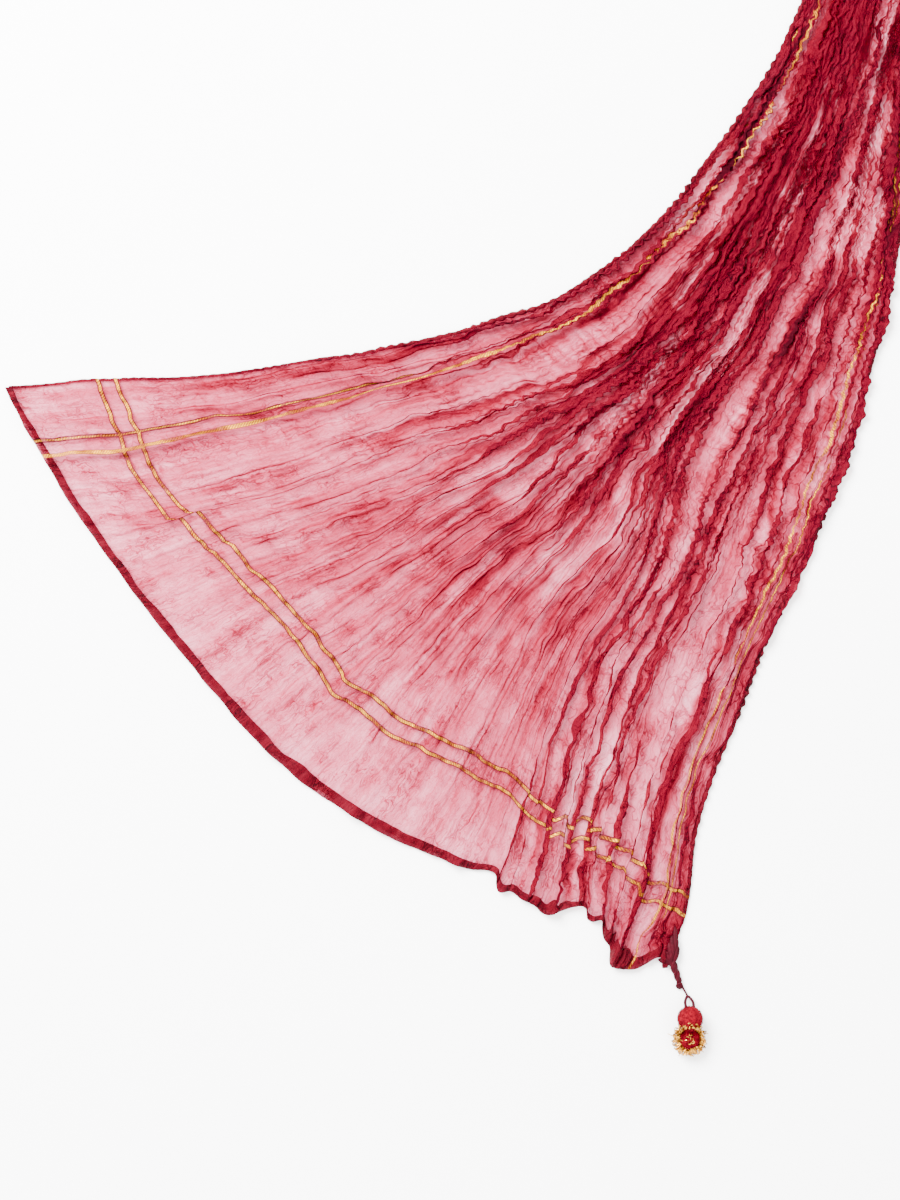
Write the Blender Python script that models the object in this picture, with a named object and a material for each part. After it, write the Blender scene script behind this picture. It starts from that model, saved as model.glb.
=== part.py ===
"""Crinkled silk dupatta laid flat, one end fanned out and the middle gathered.

Metres, +Z up.  X and Y are the surface that the cloth lies on, and +Y runs from
the fanned end towards the far end.  The origin is on the surface, at the middle
of the whole piece seen from above.
"""

from collections import namedtuple
from math import cos, pi, radians, sin

import bpy
import numpy as np
from mathutils import Matrix

# Cut of the cloth, with its hems
CLOTH_WIDTH = 1.0
CLOTH_LENGTH = 2.4
WALL = 0.001
SEAM_GAP = 0.0003
END_HEM_DEPTH = 0.009
END_HEM_WALL = 0.0016
SIDE_HEM_WIDTH = 0.003
SIDE_HEM_HEIGHT = 0.002

# Folds that run along the cloth
FOLDS = 26
FOLD_WIDTH_SWAY = 0.22       # how far one fold's share of the cloth strays from even
FOLD_SWAY_STEP = 2.4         # turn from one fold to the next in the wave that sways them
FOLD_SWAY_START = 0.6
CRINKLE_TAKE_UP = 1.13       # cut width over the width that the fine crinkle leaves
LEAST_FOLD_HEIGHT = 0.0012
EDGE_FLAT = 0.0015           # flat cloth between a side hem and the first fold
OPEN_FLAT_SHARE = 0.27       # share of a fold's pitch in its foot where it lies open
TIGHT_FLAT_SHARE = 0.485     # the same where the cloth is gathered tight
TIGHT_GATHER = 4.0           # cloth over pitch at which a fold's walls stand upright

# Rows of points along the cloth
NEAR_ROW_STEP = 0.075
NEAR_ROWS_END = 0.975
FAR_ROW_COUNT = 10
FIRST_ROW = 0.034

# Hem's wave at the fanned end fades over this length of cloth
WAVE_FADE = 0.04

# Tassel on the corner
TAIL_THICK = 0.0042
TAIL_THIN = 0.0024
TAIL_GAP = 0.00075
TAIL_RINGS = 13
TAIL_TWIST = 0.35            # turn of each ring of the tail against the last, in radians
KNOT_RADIUS = 0.0033
KNOT_PLACE = 0.84            # share of the tail's length at which its knot sits
KNOT_SPAN = 0.17
THREAD_RADIUS = 0.0006
THREAD_SAG = 0.0012
LOOP_RADIUS = 0.0009
LOOP_HEIGHT = 0.0030
LOOP_BOW = 0.0006
LOOP_SEAT = (0.42, 0.76, -0.45)  # way from the ball's middle to where a leg of the loop ends
BALL_RADIUS = 0.0115
BALL_CAP = 80                # degrees up and down at which the ball is cut flat
CORE_RADIUS = 0.0068
CORE_HEIGHT = 0.0072
CORE_CAP = 78
BACKING_RADIUS = 0.0056
BACKING_FOOT = 0.0045
BACKING_LIFT = 0.0009
BACKING_HEIGHT = 0.0028
LOCKS = 30
LOCK_REACH = 0.0145
LOCK_TIP = 0.0006
LOCK_LIFT = 0.004            # how far a lock's tip rises above its root
LOCK_LIFT_SWAY = 0.0022
LOCK_LIFT_BALL = 0.006       # further rise of the locks that lie against the ball
LOCK_UNEVEN = 0.07           # share by which every third lock is shorter than the next
LOCK_RINGS = (0.35, 0.7, 1.0)

# Places of the tassel's pieces, from the left tip of the fanned end
CORNER = (0.6002, -0.5162)
KNOT_AT = (0.6068, -0.5372)
APEX_AT = (0.6140, -0.5470)
BALL_AT = (0.6156, -0.5661)
ROSETTE_AT = (0.6155, -0.5845)

Section = namedtuple("Section", "along x y width heading bow")
SECTIONS = [
    # along the cloth, middle of the row (x, y), width, heading in degrees, bow
    Section(0.00, 0.300, -0.258, 0.792, 49.3, 0.088),
    Section(0.10, 0.362, -0.208, 0.674, 51.1, 0.071),
    Section(0.20, 0.426, -0.156, 0.564, 53.4, 0.055),
    Section(0.30, 0.491, -0.101, 0.463, 56.5, 0.041),
    Section(0.40, 0.561, -0.046, 0.377, 60.8, 0.029),
    Section(0.50, 0.626, 0.017, 0.295, 65.6, 0.020),
    Section(0.60, 0.679, 0.094, 0.229, 68.8, 0.013),
    Section(0.70, 0.722, 0.180, 0.181, 70.3, 0.008),
    Section(0.80, 0.758, 0.273, 0.139, 71.0, 0.005),
    Section(0.90, 0.788, 0.368, 0.114, 71.5, 0.003),
    Section(1.05, 0.834, 0.511, 0.112, 73.5, 0.000),
    Section(1.20, 0.872, 0.656, 0.125, 77.0, 0.000),
    Section(1.40, 0.905, 0.853, 0.170, 82.0, -0.004),
    Section(1.60, 0.923, 1.052, 0.240, 86.0, -0.009),
    Section(1.80, 0.931, 1.252, 0.320, 88.0, -0.015),
    Section(2.00, 0.936, 1.452, 0.395, 89.0, -0.021),
    Section(2.20, 0.938, 1.651, 0.465, 90.0, -0.027),
    Section(2.40, 0.938, 1.850, 0.530, 90.0, -0.033),
]

Spread = namedtuple("Spread", "cut near middle throat far")
SPREADS = [
    # share of the cut width, and where that share lies across the row at
    # the fanned end, at 0.5 m, at the throat and at the far end
    Spread(0.00, 0.000, 0.000, 0.000, 0.000),
    Spread(0.06, 0.069, 0.092, 0.080, 0.070),
    Spread(0.20, 0.230, 0.270, 0.220, 0.220),
    Spread(0.40, 0.460, 0.420, 0.400, 0.410),
    Spread(0.55, 0.630, 0.500, 0.520, 0.550),
    Spread(0.70, 0.790, 0.640, 0.670, 0.690),
    Spread(0.85, 0.900, 0.820, 0.840, 0.840),
    Spread(0.94, 0.960, 0.925, 0.930, 0.930),
    Spread(1.00, 1.000, 1.000, 1.000, 1.000),
]
SPREAD_PLACES = (0.0, 0.5, 1.1, CLOTH_LENGTH)

Wave = namedtuple("Wave", "across out")
HEM_WAVES = [
    # place across the fanned end, and how far the hem stands out there
    Wave(0.000, 0.000),
    Wave(0.200, -0.004),
    Wave(0.350, -0.003),
    Wave(0.540, 0.007),
    Wave(0.650, 0.003),
    Wave(0.710, -0.006),
    Wave(0.780, -0.014),
    Wave(0.805, -0.006),
    Wave(0.845, -0.003),
    Wave(0.880, -0.019),
    Wave(0.915, -0.013),
    Wave(0.950, 0.013),
    Wave(0.975, 0.010),
    Wave(1.000, 0.000),
]

COLOURS = {
    "crimson_silk": (0.520, 0.028, 0.070, 0.45, 0.0),
    "hem_silk": (0.300, 0.012, 0.035, 0.50, 0.0),
    "red_wool": (0.700, 0.010, 0.020, 0.85, 0.0),
    "gold_tinsel": (0.830, 0.560, 0.180, 0.30, 1.0),
    "dark_thread": (0.100, 0.006, 0.012, 0.60, 0.0),
}


def smooth_curve(x, knots, values):
    """Cubic through the knots; each knot's slope is that of its neighbours' chord."""
    knots = np.asarray(knots, float)
    values = np.asarray(values, float)
    slopes = np.gradient(values, knots)
    i = np.clip(np.searchsorted(knots, x) - 1, 0, len(knots) - 2)
    span = knots[i + 1] - knots[i]
    t = (np.asarray(x, float) - knots[i]) / span
    a = 2 * t**3 - 3 * t**2 + 1
    b = t**3 - 2 * t**2 + t
    c = -2 * t**3 + 3 * t**2
    d = t**3 - t**2
    return a * values[i] + b * span * slopes[i] + c * values[i + 1] + d * span * slopes[i + 1]


def section_at(along):
    """The section table's columns, read smoothly at one place along the cloth."""
    knots = [s.along for s in SECTIONS]
    return Section(*(smooth_curve(along, knots, [s[k] for s in SECTIONS]) for k in range(6)))


def plan(along, across):
    """Points on the surface at shares across one row: a chord, bowed and waved."""
    s = section_at(along)
    turn = radians(float(s.heading))
    chord = np.array([sin(turn), -cos(turn)])
    outward = np.array([-cos(turn), -sin(turn)])
    wave = np.interp(across, [w.across for w in HEM_WAVES], [w.out for w in HEM_WAVES])
    out = s.bow * 4 * across * (1 - across) + wave * np.exp(-along / WAVE_FADE)
    middle = np.array([float(s.x), float(s.y)])
    return middle + np.outer((across - 0.5) * s.width, chord) + np.outer(out, outward)


def row_length(along):
    """Length of a row, measured along its bow."""
    points = plan(along, np.linspace(0, 1, 120))
    return float(np.linalg.norm(np.diff(points, axis=0), axis=1).sum())


def fold_bounds():
    """Shares of the cut width at which the folds begin; the folds differ in width."""
    steps = 1 + FOLD_WIDTH_SWAY * np.sin(FOLD_SWAY_STEP * np.arange(FOLDS) + FOLD_SWAY_START)
    return np.append(0, np.cumsum(steps)) / steps.sum()


def spread_at(along, cut):
    """Where shares of the cut width lie across a row, between the table's four rows."""
    table = np.array([smooth_curve(cut, [s.cut for s in SPREADS], [s[k] for s in SPREADS])
                      for k in range(1, 5)])
    return np.array([np.interp(along, SPREAD_PLACES, column) for column in table.T])


def fold_section(along, edge):
    """A row's middle line as distances across and heights, four points to a fold."""
    length = row_length(along)
    cut = fold_bounds()
    inset = SIDE_HEM_WIDTH + SEAM_GAP + EDGE_FLAT
    feet = inset + spread_at(along, cut) * (length - 2 * inset)
    pitch = np.diff(feet)
    cloth = np.diff(cut) * CLOTH_WIDTH / CRINKLE_TAKE_UP
    gather = np.clip((cloth / pitch - 1) / (TIGHT_GATHER - 1), 0, 1)
    flat = (OPEN_FLAT_SHARE + (TIGHT_FLAT_SHARE - OPEN_FLAT_SHARE) * gather) * pitch
    wall = (cloth - 2 * flat) / 2
    run = (pitch - 2 * flat) / 2
    height = np.sqrt(np.maximum(wall**2 - run**2, LEAST_FOLD_HEIGHT**2))
    foot = np.append(flat, flat[-1])
    foot[1:-1] = (flat[1:] + flat[:-1]) / 2
    crest = (feet[1:] + feet[:-1]) / 2
    across = [edge]
    lift = [0.0]
    for k in range(FOLDS):
        across += [feet[k] + foot[k] / 2, crest[k] - flat[k] / 2, crest[k] + flat[k] / 2]
        lift += [0.0, height[k], height[k]]
        across.append(feet[k + 1] - foot[k + 1] / 2)
        lift.append(0.0)
    across.append(length - edge)
    lift.append(0.0)
    return np.array(across), np.array(lift), length


def thick_section(along, wall, edge):
    """Upper and lower lines of a row: the middle line moved half a wall each way."""
    across, lift, length = fold_section(along, edge)
    step = np.stack([np.diff(across), np.diff(lift)], axis=1)
    step /= np.linalg.norm(step, axis=1)[:, None]
    normal = np.stack([-step[:, 1], step[:, 0]], axis=1)
    first, last = normal[:1], normal[-1:]
    before, after = np.concatenate([first, normal]), np.concatenate([normal, last])
    mitre = (before + after) / (1 + (before * after).sum(axis=1))[:, None]
    middle = np.stack([across, lift + wall / 2], axis=1)
    return middle + mitre * wall / 2, middle - mitre * wall / 2, length


def lay(line, along, length):
    """Puts a line of distances across and heights onto a row of the plan."""
    points = np.empty((len(line), 3))
    points[:, :2] = plan(along, line[:, 0] / length)
    points[:, 2] = line[:, 1]
    return points


def material(kind):
    """A Principled material in one of the named colours."""
    found = bpy.data.materials.new(kind)
    found.use_nodes = True
    shader = found.node_tree.nodes["Principled BSDF"]
    red, green, blue, rough, metal = COLOURS[kind]
    shader.inputs["Base Color"].default_value = (red, green, blue, 1)
    shader.inputs["Roughness"].default_value = rough
    shader.inputs["Metallic"].default_value = metal
    found.diffuse_color = (red, green, blue, 1)
    return found


def add_object(name, points, faces, kind, smooth=False):
    """One named object from points and faces."""
    mesh = bpy.data.meshes.new(name)
    mesh.from_pydata(np.asarray(points).tolist(), [], faces)
    mesh.update()
    if smooth:
        mesh.shade_smooth()
    made = bpy.data.objects.new(name, mesh)
    made.data.materials.append(material(kind))
    bpy.context.collection.objects.link(made)
    return made


def wall_faces(rows, columns):
    """Triangles of a wall: upper grid, lower grid with like diagonals, and its four rims."""
    faces = []
    low = rows * columns

    def quad(a, b, c, d):
        faces.append((a, b, c))
        faces.append((a, c, d))

    for r in range(rows - 1):
        for c in range(columns - 1):
            a = r * columns + c
            b = a + 1
            d = a + columns
            e = d + 1
            faces.append((a, b, e))
            faces.append((a, e, d))
            faces.append((low + a, low + e, low + b))
            faces.append((low + a, low + d, low + e))
        left = r * columns
        right = left + columns - 1
        quad(left, left + columns, low + left + columns, low + left)
        quad(right + columns, right, low + right, low + right + columns)
    for c in range(columns - 1):
        a = c
        b = (rows - 1) * columns + c
        quad(a + 1, a, low + a, low + a + 1)
        quad(b, b + 1, low + b + 1, low + b)
    return faces


def folded_wall(name, alongs, wall, kind, folded_as, edge):
    """A folded wall of cloth through rows along it, each folded as the row at a given place."""
    upper, lower = [], []
    for along, source in zip(alongs, folded_as):
        top, bottom, length = thick_section(source, wall, edge)
        upper.append(lay(top, along, length))
        lower.append(lay(bottom, along, length))
    points = np.concatenate(upper + lower)
    return add_object(name, points, wall_faces(len(alongs), len(upper[0])), kind)


def row_places():
    """Places of the cloth's rows: close at the fanned end, wider apart beyond the throat."""
    inset = END_HEM_DEPTH + SEAM_GAP
    near = np.arange(NEAR_ROW_STEP, NEAR_ROWS_END + 1e-6, NEAR_ROW_STEP)
    far = np.linspace(NEAR_ROWS_END, CLOTH_LENGTH - inset, FAR_ROW_COUNT + 1)[1:]
    return np.concatenate([[inset, FIRST_ROW], near, far])


def ring_body(name, rings, kind, smooth=True):
    """A closed body through rings of equal counts, with a flat face at each end."""
    rings = np.asarray(rings)
    rows, count = rings.shape[:2]
    faces = [tuple(range(count - 1, -1, -1))]
    for r in range(rows - 1):
        for c in range(count):
            a = r * count + c
            b = r * count + (c + 1) % count
            faces.append((a, b, b + count, a + count))
    faces.append(tuple((rows - 1) * count + c for c in range(count)))
    return add_object(name, rings.reshape(-1, 3), faces, kind, smooth)


def side_hem(name, right):
    """The narrow rolled hem along one side: a low six-sided bar under the row's edge."""
    w, h = SIDE_HEM_WIDTH, SIDE_HEM_HEIGHT
    profile = np.array([[0.25 * w, 0], [0.75 * w, 0], [w, 0.35 * h], [0.75 * w, h],
                        [0.25 * w, h], [0, 0.35 * h]])
    rings = []
    for along in row_places():
        length = row_length(along)
        ring = profile.copy()
        if right:
            ring[:, 0] += length - w
        rings.append(lay(ring[::-1], along, length))
    return ring_body(name, rings, "hem_silk", smooth=False)


def tube_rings(path, radii, sides, twist=0.0):
    """Rings square to a path, each turned a little more than the last."""
    path = np.asarray(path, float)
    radii = np.broadcast_to(radii, len(path))
    ahead = np.gradient(path, axis=0)
    ahead /= np.linalg.norm(ahead, axis=1)[:, None]
    side = np.cross(ahead, [0, 0, 1.0])
    side /= np.linalg.norm(side, axis=1)[:, None]
    up = np.cross(side, ahead)
    angles = 2 * pi * np.arange(sides) / sides
    turned = angles[None, :] + twist * np.arange(len(path))[:, None]
    reach = radii[:, None, None]
    return path[:, None] - reach * (np.cos(turned)[..., None] * side[:, None]
                                    - np.sin(turned)[..., None] * up[:, None])


def corner_tail():
    """The corner of the cloth twisted into a tail that ends in a small knot."""
    knot = np.array([*KNOT_AT, KNOT_RADIUS])
    corner = np.array([*CORNER, TAIL_THICK])
    start = corner + (knot - corner) * (TAIL_GAP / np.linalg.norm(knot - corner))
    t = np.linspace(0, 1, TAIL_RINGS)
    path = start + np.outer(t, knot - start)
    tail = TAIL_THICK + (TAIL_THIN - TAIL_THICK) * np.clip(t / (KNOT_PLACE - KNOT_SPAN), 0, 1)
    bulge = np.sqrt(np.maximum(1 - ((t - KNOT_PLACE) / KNOT_SPAN)**2, 0))
    radii = np.maximum(tail * (t < KNOT_PLACE), KNOT_RADIUS * bulge)
    radii[-1] = TAIL_THIN / 2
    path[:, 2] = np.maximum(radii, TAIL_THIN)
    return ring_body("corner_tail", tube_rings(path, radii, 6, TAIL_TWIST), "hem_silk")


def tassel_thread():
    """The thin thread from the knot to the point of the tassel's loop."""
    t = np.linspace(0, 1, 5)[:, None]
    ends = np.array([[*KNOT_AT, TAIL_THIN], [*APEX_AT, LOOP_HEIGHT]])
    way = ends[1] - ends[0]
    begin = ends[0] + way * (SEAM_GAP / np.linalg.norm(way))
    finish = ends[1] - way / np.linalg.norm(way) * (LOOP_RADIUS + SEAM_GAP)
    path = begin + t * (finish - begin)
    path[:, 2] -= THREAD_SAG * np.sin(pi * t[:, 0])
    return ring_body("tassel_thread", tube_rings(path, THREAD_RADIUS, 5), "dark_thread")


def tassel_loop():
    """A pointed loop of cord whose two legs end on the ball."""
    ball = np.array([*BALL_AT, BALL_RADIUS])
    apex = np.array([*APEX_AT, LOOP_HEIGHT])
    legs = []
    for side in (-1, 1):
        seat = np.array([side * LOOP_SEAT[0], *LOOP_SEAT[1:]])
        seat *= (BALL_RADIUS + SEAM_GAP + LOOP_RADIUS / 2) / np.linalg.norm(seat)
        foot = ball + seat
        t = np.linspace(0, 1, 6)[:, None]
        leg = foot + (apex - foot) * t
        leg[:, 0] += side * LOOP_BOW * np.sin(pi * t[:, 0])
        legs.append(leg)
    path = np.concatenate([legs[0], legs[1][-2::-1]])
    return ring_body("tassel_loop", tube_rings(path, LOOP_RADIUS, 5), "dark_thread")


def round_body(name, centre, size, caps, kind, rings, sides=18):
    """A ball of the given radius and height, as rings between two angles above its middle."""
    angles = np.linspace(radians(caps[0]), radians(caps[1]), rings)
    turn = 2 * pi * np.arange(sides) / sides
    circle = np.stack([np.cos(turn), np.sin(turn)], axis=1)
    body = np.zeros((rings, sides, 3))
    for k, a in enumerate(angles):
        body[k, :, :2] = circle * size[0] * cos(a)
        body[k, :, 2] = size[1] * sin(a)
    return ring_body(name, body + np.asarray(centre), kind)


def clear_of_ball(point, gap):
    """Moves a point out of the ball's way along the line from the ball's middle."""
    ball = np.array([*BALL_AT, BALL_RADIUS])
    off = point - ball
    far = np.linalg.norm(off)
    keep = BALL_RADIUS + gap
    return point if far >= keep else ball + off * (keep / far)


def tassel_fringe():
    """Gold tinsel locks that stand out all round a flat backing, one from each of its sides."""
    turn = 2 * pi * np.arange(LOCKS) / LOCKS
    circle = np.stack([np.cos(turn), np.sin(turn), 0 * turn], axis=1)
    centre = np.array([*ROSETTE_AT, 0.0])
    low = np.array([0, 0, BACKING_LIFT])
    high = np.array([0, 0, BACKING_HEIGHT])
    points = [centre + circle * BACKING_FOOT,
              centre + low + circle * BACKING_RADIUS,
              centre + high + circle * BACKING_RADIUS]
    points = list(np.concatenate(points))
    faces = [tuple(range(LOCKS - 1, -1, -1)), tuple(range(2 * LOCKS, 3 * LOCKS))]
    for k in range(LOCKS):
        n = (k + 1) % LOCKS
        faces.append((k, n, LOCKS + n, LOCKS + k))
        root = [LOCKS + k, LOCKS + n, 2 * LOCKS + n, 2 * LOCKS + k]
        mid = (circle[k] + circle[n]) / 2
        mid /= np.linalg.norm(mid)
        lift = LOCK_LIFT + LOCK_LIFT_SWAY * sin(2.6 * k) + LOCK_LIFT_BALL * max(mid[1], 0)
        tip = LOCK_REACH * (1 - LOCK_UNEVEN * (k % 3))
        for share in LOCK_RINGS:
            at = centre + mid * (BACKING_RADIUS + (tip - BACKING_RADIUS) * share)
            at[2] = (BACKING_LIFT + BACKING_HEIGHT) / 2 + lift * share**2
            half = LOCK_TIP / 2 * (1.25 - 0.25 * share)
            at = clear_of_ball(at, LOCK_TIP + SEAM_GAP)
            aside = np.array([-mid[1], mid[0], 0]) * half
            upward = np.array([0, 0, half])
            new = len(points)
            points += [at - aside - upward, at + aside - upward]
            points += [at + aside + upward, at - aside + upward]
            ring = [new, new + 1, new + 2, new + 3]
            for e in range(4):
                f = (e + 1) % 4
                faces.append((root[e], root[f], ring[f], ring[e]))
            root = ring
        faces.append(tuple(root))
    return add_object("tassel_fringe", points, faces, "gold_tinsel")


def settle():
    """Moves every mesh so that the origin is on the surface, at the whole piece's middle."""
    things = list(bpy.context.collection.objects)
    corners = np.array([v.co for thing in things for v in thing.data.vertices])
    low, high = corners.min(axis=0), corners.max(axis=0)
    shift = Matrix.Translation((-(low[0] + high[0]) / 2, -(low[1] + high[1]) / 2, -low[2]))
    for thing in things:
        thing.data.transform(shift)


def build():
    """Makes every piece of the dupatta."""
    rows = row_places()
    folded_wall("cloth_panel", rows, WALL, "crimson_silk", rows, SIDE_HEM_WIDTH + SEAM_GAP)
    near, far = [0.0, END_HEM_DEPTH], [CLOTH_LENGTH - END_HEM_DEPTH, CLOTH_LENGTH]
    folded_wall("hem_near_end", near, END_HEM_WALL, "hem_silk", rows[[0, 0]], 0.0)
    folded_wall("hem_far_end", far, END_HEM_WALL, "hem_silk", rows[[-1, -1]], 0.0)
    side_hem("hem_left_side", False)
    side_hem("hem_right_side", True)
    corner_tail()
    tassel_thread()
    tassel_loop()
    ball = (*BALL_AT, BALL_RADIUS)
    round_body("tassel_ball", ball, (BALL_RADIUS, BALL_RADIUS), (-BALL_CAP, BALL_CAP), "red_wool", 10)
    tassel_fringe()
    core = (*ROSETTE_AT, BACKING_HEIGHT + 2 * SEAM_GAP)
    round_body("tassel_core", core, (CORE_RADIUS, CORE_HEIGHT), (0, CORE_CAP), "red_wool", 6)


for thing in list(bpy.data.objects):
    bpy.data.objects.remove(thing, do_unlink=True)

build()
settle()
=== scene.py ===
"""Looks of a crinkled silk dupatta laid flat: sheer cloth, woven gold lines, hems and tassel.

Laid out as an add-on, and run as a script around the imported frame.
"""

from collections import namedtuple

import bpy
import numpy as np
from bpy.props import FloatProperty, FloatVectorProperty, IntProperty, PointerProperty
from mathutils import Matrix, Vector


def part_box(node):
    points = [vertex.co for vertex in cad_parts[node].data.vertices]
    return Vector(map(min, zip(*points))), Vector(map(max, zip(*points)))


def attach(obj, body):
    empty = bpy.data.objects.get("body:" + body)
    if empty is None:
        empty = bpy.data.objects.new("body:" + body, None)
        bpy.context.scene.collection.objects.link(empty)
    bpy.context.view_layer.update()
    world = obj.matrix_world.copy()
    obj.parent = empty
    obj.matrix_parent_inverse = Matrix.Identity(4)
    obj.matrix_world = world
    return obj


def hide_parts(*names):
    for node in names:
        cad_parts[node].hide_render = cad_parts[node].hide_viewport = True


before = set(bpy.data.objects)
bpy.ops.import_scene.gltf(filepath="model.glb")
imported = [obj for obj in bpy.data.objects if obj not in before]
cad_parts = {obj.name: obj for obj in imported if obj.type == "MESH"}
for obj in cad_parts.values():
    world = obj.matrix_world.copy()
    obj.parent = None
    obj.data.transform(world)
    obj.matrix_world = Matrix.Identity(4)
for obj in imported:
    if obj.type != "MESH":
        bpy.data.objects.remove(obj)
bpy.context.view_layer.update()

bl_info = {
    "name": "Crinkled silk dupatta",
    "version": (1, 0, 0),
    "blender": (4, 5, 0),
    "location": "View3D > Sidebar > Dupatta",
    "description": "Makes the cloth, hems and tassel of a crinkled silk dupatta laid flat",
    "category": "Add Mesh",
}

# Cut of the cloth in metres, with its hems
CLOTH_WIDTH = 1.0
CLOTH_LENGTH = 2.4
END_HEM_DEPTH = 0.009
WAVE_FADE = 0.04

# Places of the tassel's pieces, from the left tip of the fanned end
CORNER = (0.6002, -0.5162)
KNOT_AT = (0.6068, -0.5372)
APEX_AT = (0.6140, -0.5470)
BALL_AT = (0.6156, -0.5661)
ROSETTE_AT = (0.6155, -0.5845)

# The photograph's frame: its middle from the left tip, and its height, in metres
PHOTO_MIDDLE = (0.4005, -0.1908)
PHOTO_HEIGHT = 1.08
LENS_MM = 85

# Half the floor's side in metres, and how strongly the room lights it
FLOOR_HALF = 6.0
ROOM_STRENGTH = 4.2

Section = namedtuple("Section", "along x y width heading bow")
SECTIONS = [
    # along the cloth, middle of the row (x, y), width, heading in degrees, bow
    Section(0.00, 0.300, -0.258, 0.792, 49.3, 0.088),
    Section(0.10, 0.362, -0.208, 0.674, 51.1, 0.071),
    Section(0.20, 0.426, -0.156, 0.564, 53.4, 0.055),
    Section(0.30, 0.491, -0.101, 0.463, 56.5, 0.041),
    Section(0.40, 0.561, -0.046, 0.377, 60.8, 0.029),
    Section(0.50, 0.626, 0.017, 0.295, 65.6, 0.020),
    Section(0.60, 0.679, 0.094, 0.229, 68.8, 0.013),
    Section(0.70, 0.722, 0.180, 0.181, 70.3, 0.008),
    Section(0.80, 0.758, 0.273, 0.139, 71.0, 0.005),
    Section(0.90, 0.788, 0.368, 0.114, 71.5, 0.003),
    Section(1.05, 0.834, 0.511, 0.112, 73.5, 0.000),
    Section(1.20, 0.872, 0.656, 0.125, 77.0, 0.000),
    Section(1.40, 0.905, 0.853, 0.170, 82.0, -0.004),
    Section(1.60, 0.923, 1.052, 0.240, 86.0, -0.009),
    Section(1.80, 0.931, 1.252, 0.320, 88.0, -0.015),
    Section(2.00, 0.936, 1.452, 0.395, 89.0, -0.021),
    Section(2.20, 0.938, 1.651, 0.465, 90.0, -0.027),
    Section(2.40, 0.938, 1.850, 0.530, 90.0, -0.033),
]

Spread = namedtuple("Spread", "cut near rising half tight throat far")
SPREADS = [
    # share of the cut width, and where that share lies across the row at each
    # of the spread places
    Spread(0.000, 0.000, 0.000, 0.000, 0.000, 0.000, 0.000),
    Spread(0.035, 0.038, 0.042, 0.036, 0.045, 0.043, 0.035),
    Spread(0.085, 0.095, 0.095, 0.078, 0.084, 0.074, 0.085),
    Spread(0.125, 0.140, 0.150, 0.185, 0.180, 0.157, 0.125),
    Spread(0.200, 0.226, 0.245, 0.262, 0.253, 0.239, 0.200),
    Spread(0.330, 0.376, 0.378, 0.345, 0.330, 0.320, 0.330),
    Spread(0.480, 0.549, 0.510, 0.425, 0.415, 0.405, 0.480),
    Spread(0.630, 0.718, 0.645, 0.520, 0.500, 0.485, 0.630),
    Spread(0.745, 0.827, 0.742, 0.580, 0.580, 0.565, 0.745),
    Spread(0.765, 0.840, 0.758, 0.603, 0.610, 0.600, 0.765),
    Spread(0.785, 0.853, 0.775, 0.655, 0.660, 0.640, 0.785),
    Spread(0.850, 0.900, 0.837, 0.755, 0.752, 0.703, 0.850),
    Spread(0.920, 0.947, 0.924, 0.855, 0.860, 0.763, 0.920),
    Spread(0.955, 0.970, 0.959, 0.940, 0.927, 0.843, 0.955),
    Spread(1.000, 1.000, 1.000, 1.000, 1.000, 1.000, 1.000),
]
SPREAD_PLACES = (0.0, 0.3, 0.5, 0.7, 0.87, CLOTH_LENGTH)

Wave = namedtuple("Wave", "across out")
HEM_WAVES = [
    # place across the fanned end, and how far the hem stands out there
    Wave(0.000, 0.000),
    Wave(0.200, -0.004),
    Wave(0.350, -0.003),
    Wave(0.540, 0.007),
    Wave(0.650, 0.0030),
    Wave(0.723, -0.0050),
    Wave(0.758, -0.0090),
    Wave(0.776, -0.0155),
    Wave(0.783, -0.0150),
    Wave(0.791, -0.0070),
    Wave(0.800, -0.0020),
    Wave(0.808, -0.0065),
    Wave(0.824, -0.0050),
    Wave(0.842, -0.0050),
    Wave(0.853, -0.0020),
    Wave(0.862, -0.0045),
    Wave(0.868, -0.0120),
    Wave(0.876, -0.0204),
    Wave(0.885, -0.0233),
    Wave(0.896, -0.0121),
    Wave(0.902, -0.0116),
    Wave(0.908, -0.0165),
    Wave(0.915, -0.0090),
    Wave(0.923, -0.0010),
    Wave(0.935, 0.0063),
    Wave(0.948, 0.0195),
    Wave(0.959, 0.0211),
    Wave(0.968, 0.0188),
    Wave(0.977, 0.0141),
    Wave(0.983, 0.0030),
    Wave(0.988, 0.0010),
    Wave(0.995, 0.0075),
    Wave(1.000, 0.0055),
]

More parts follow.
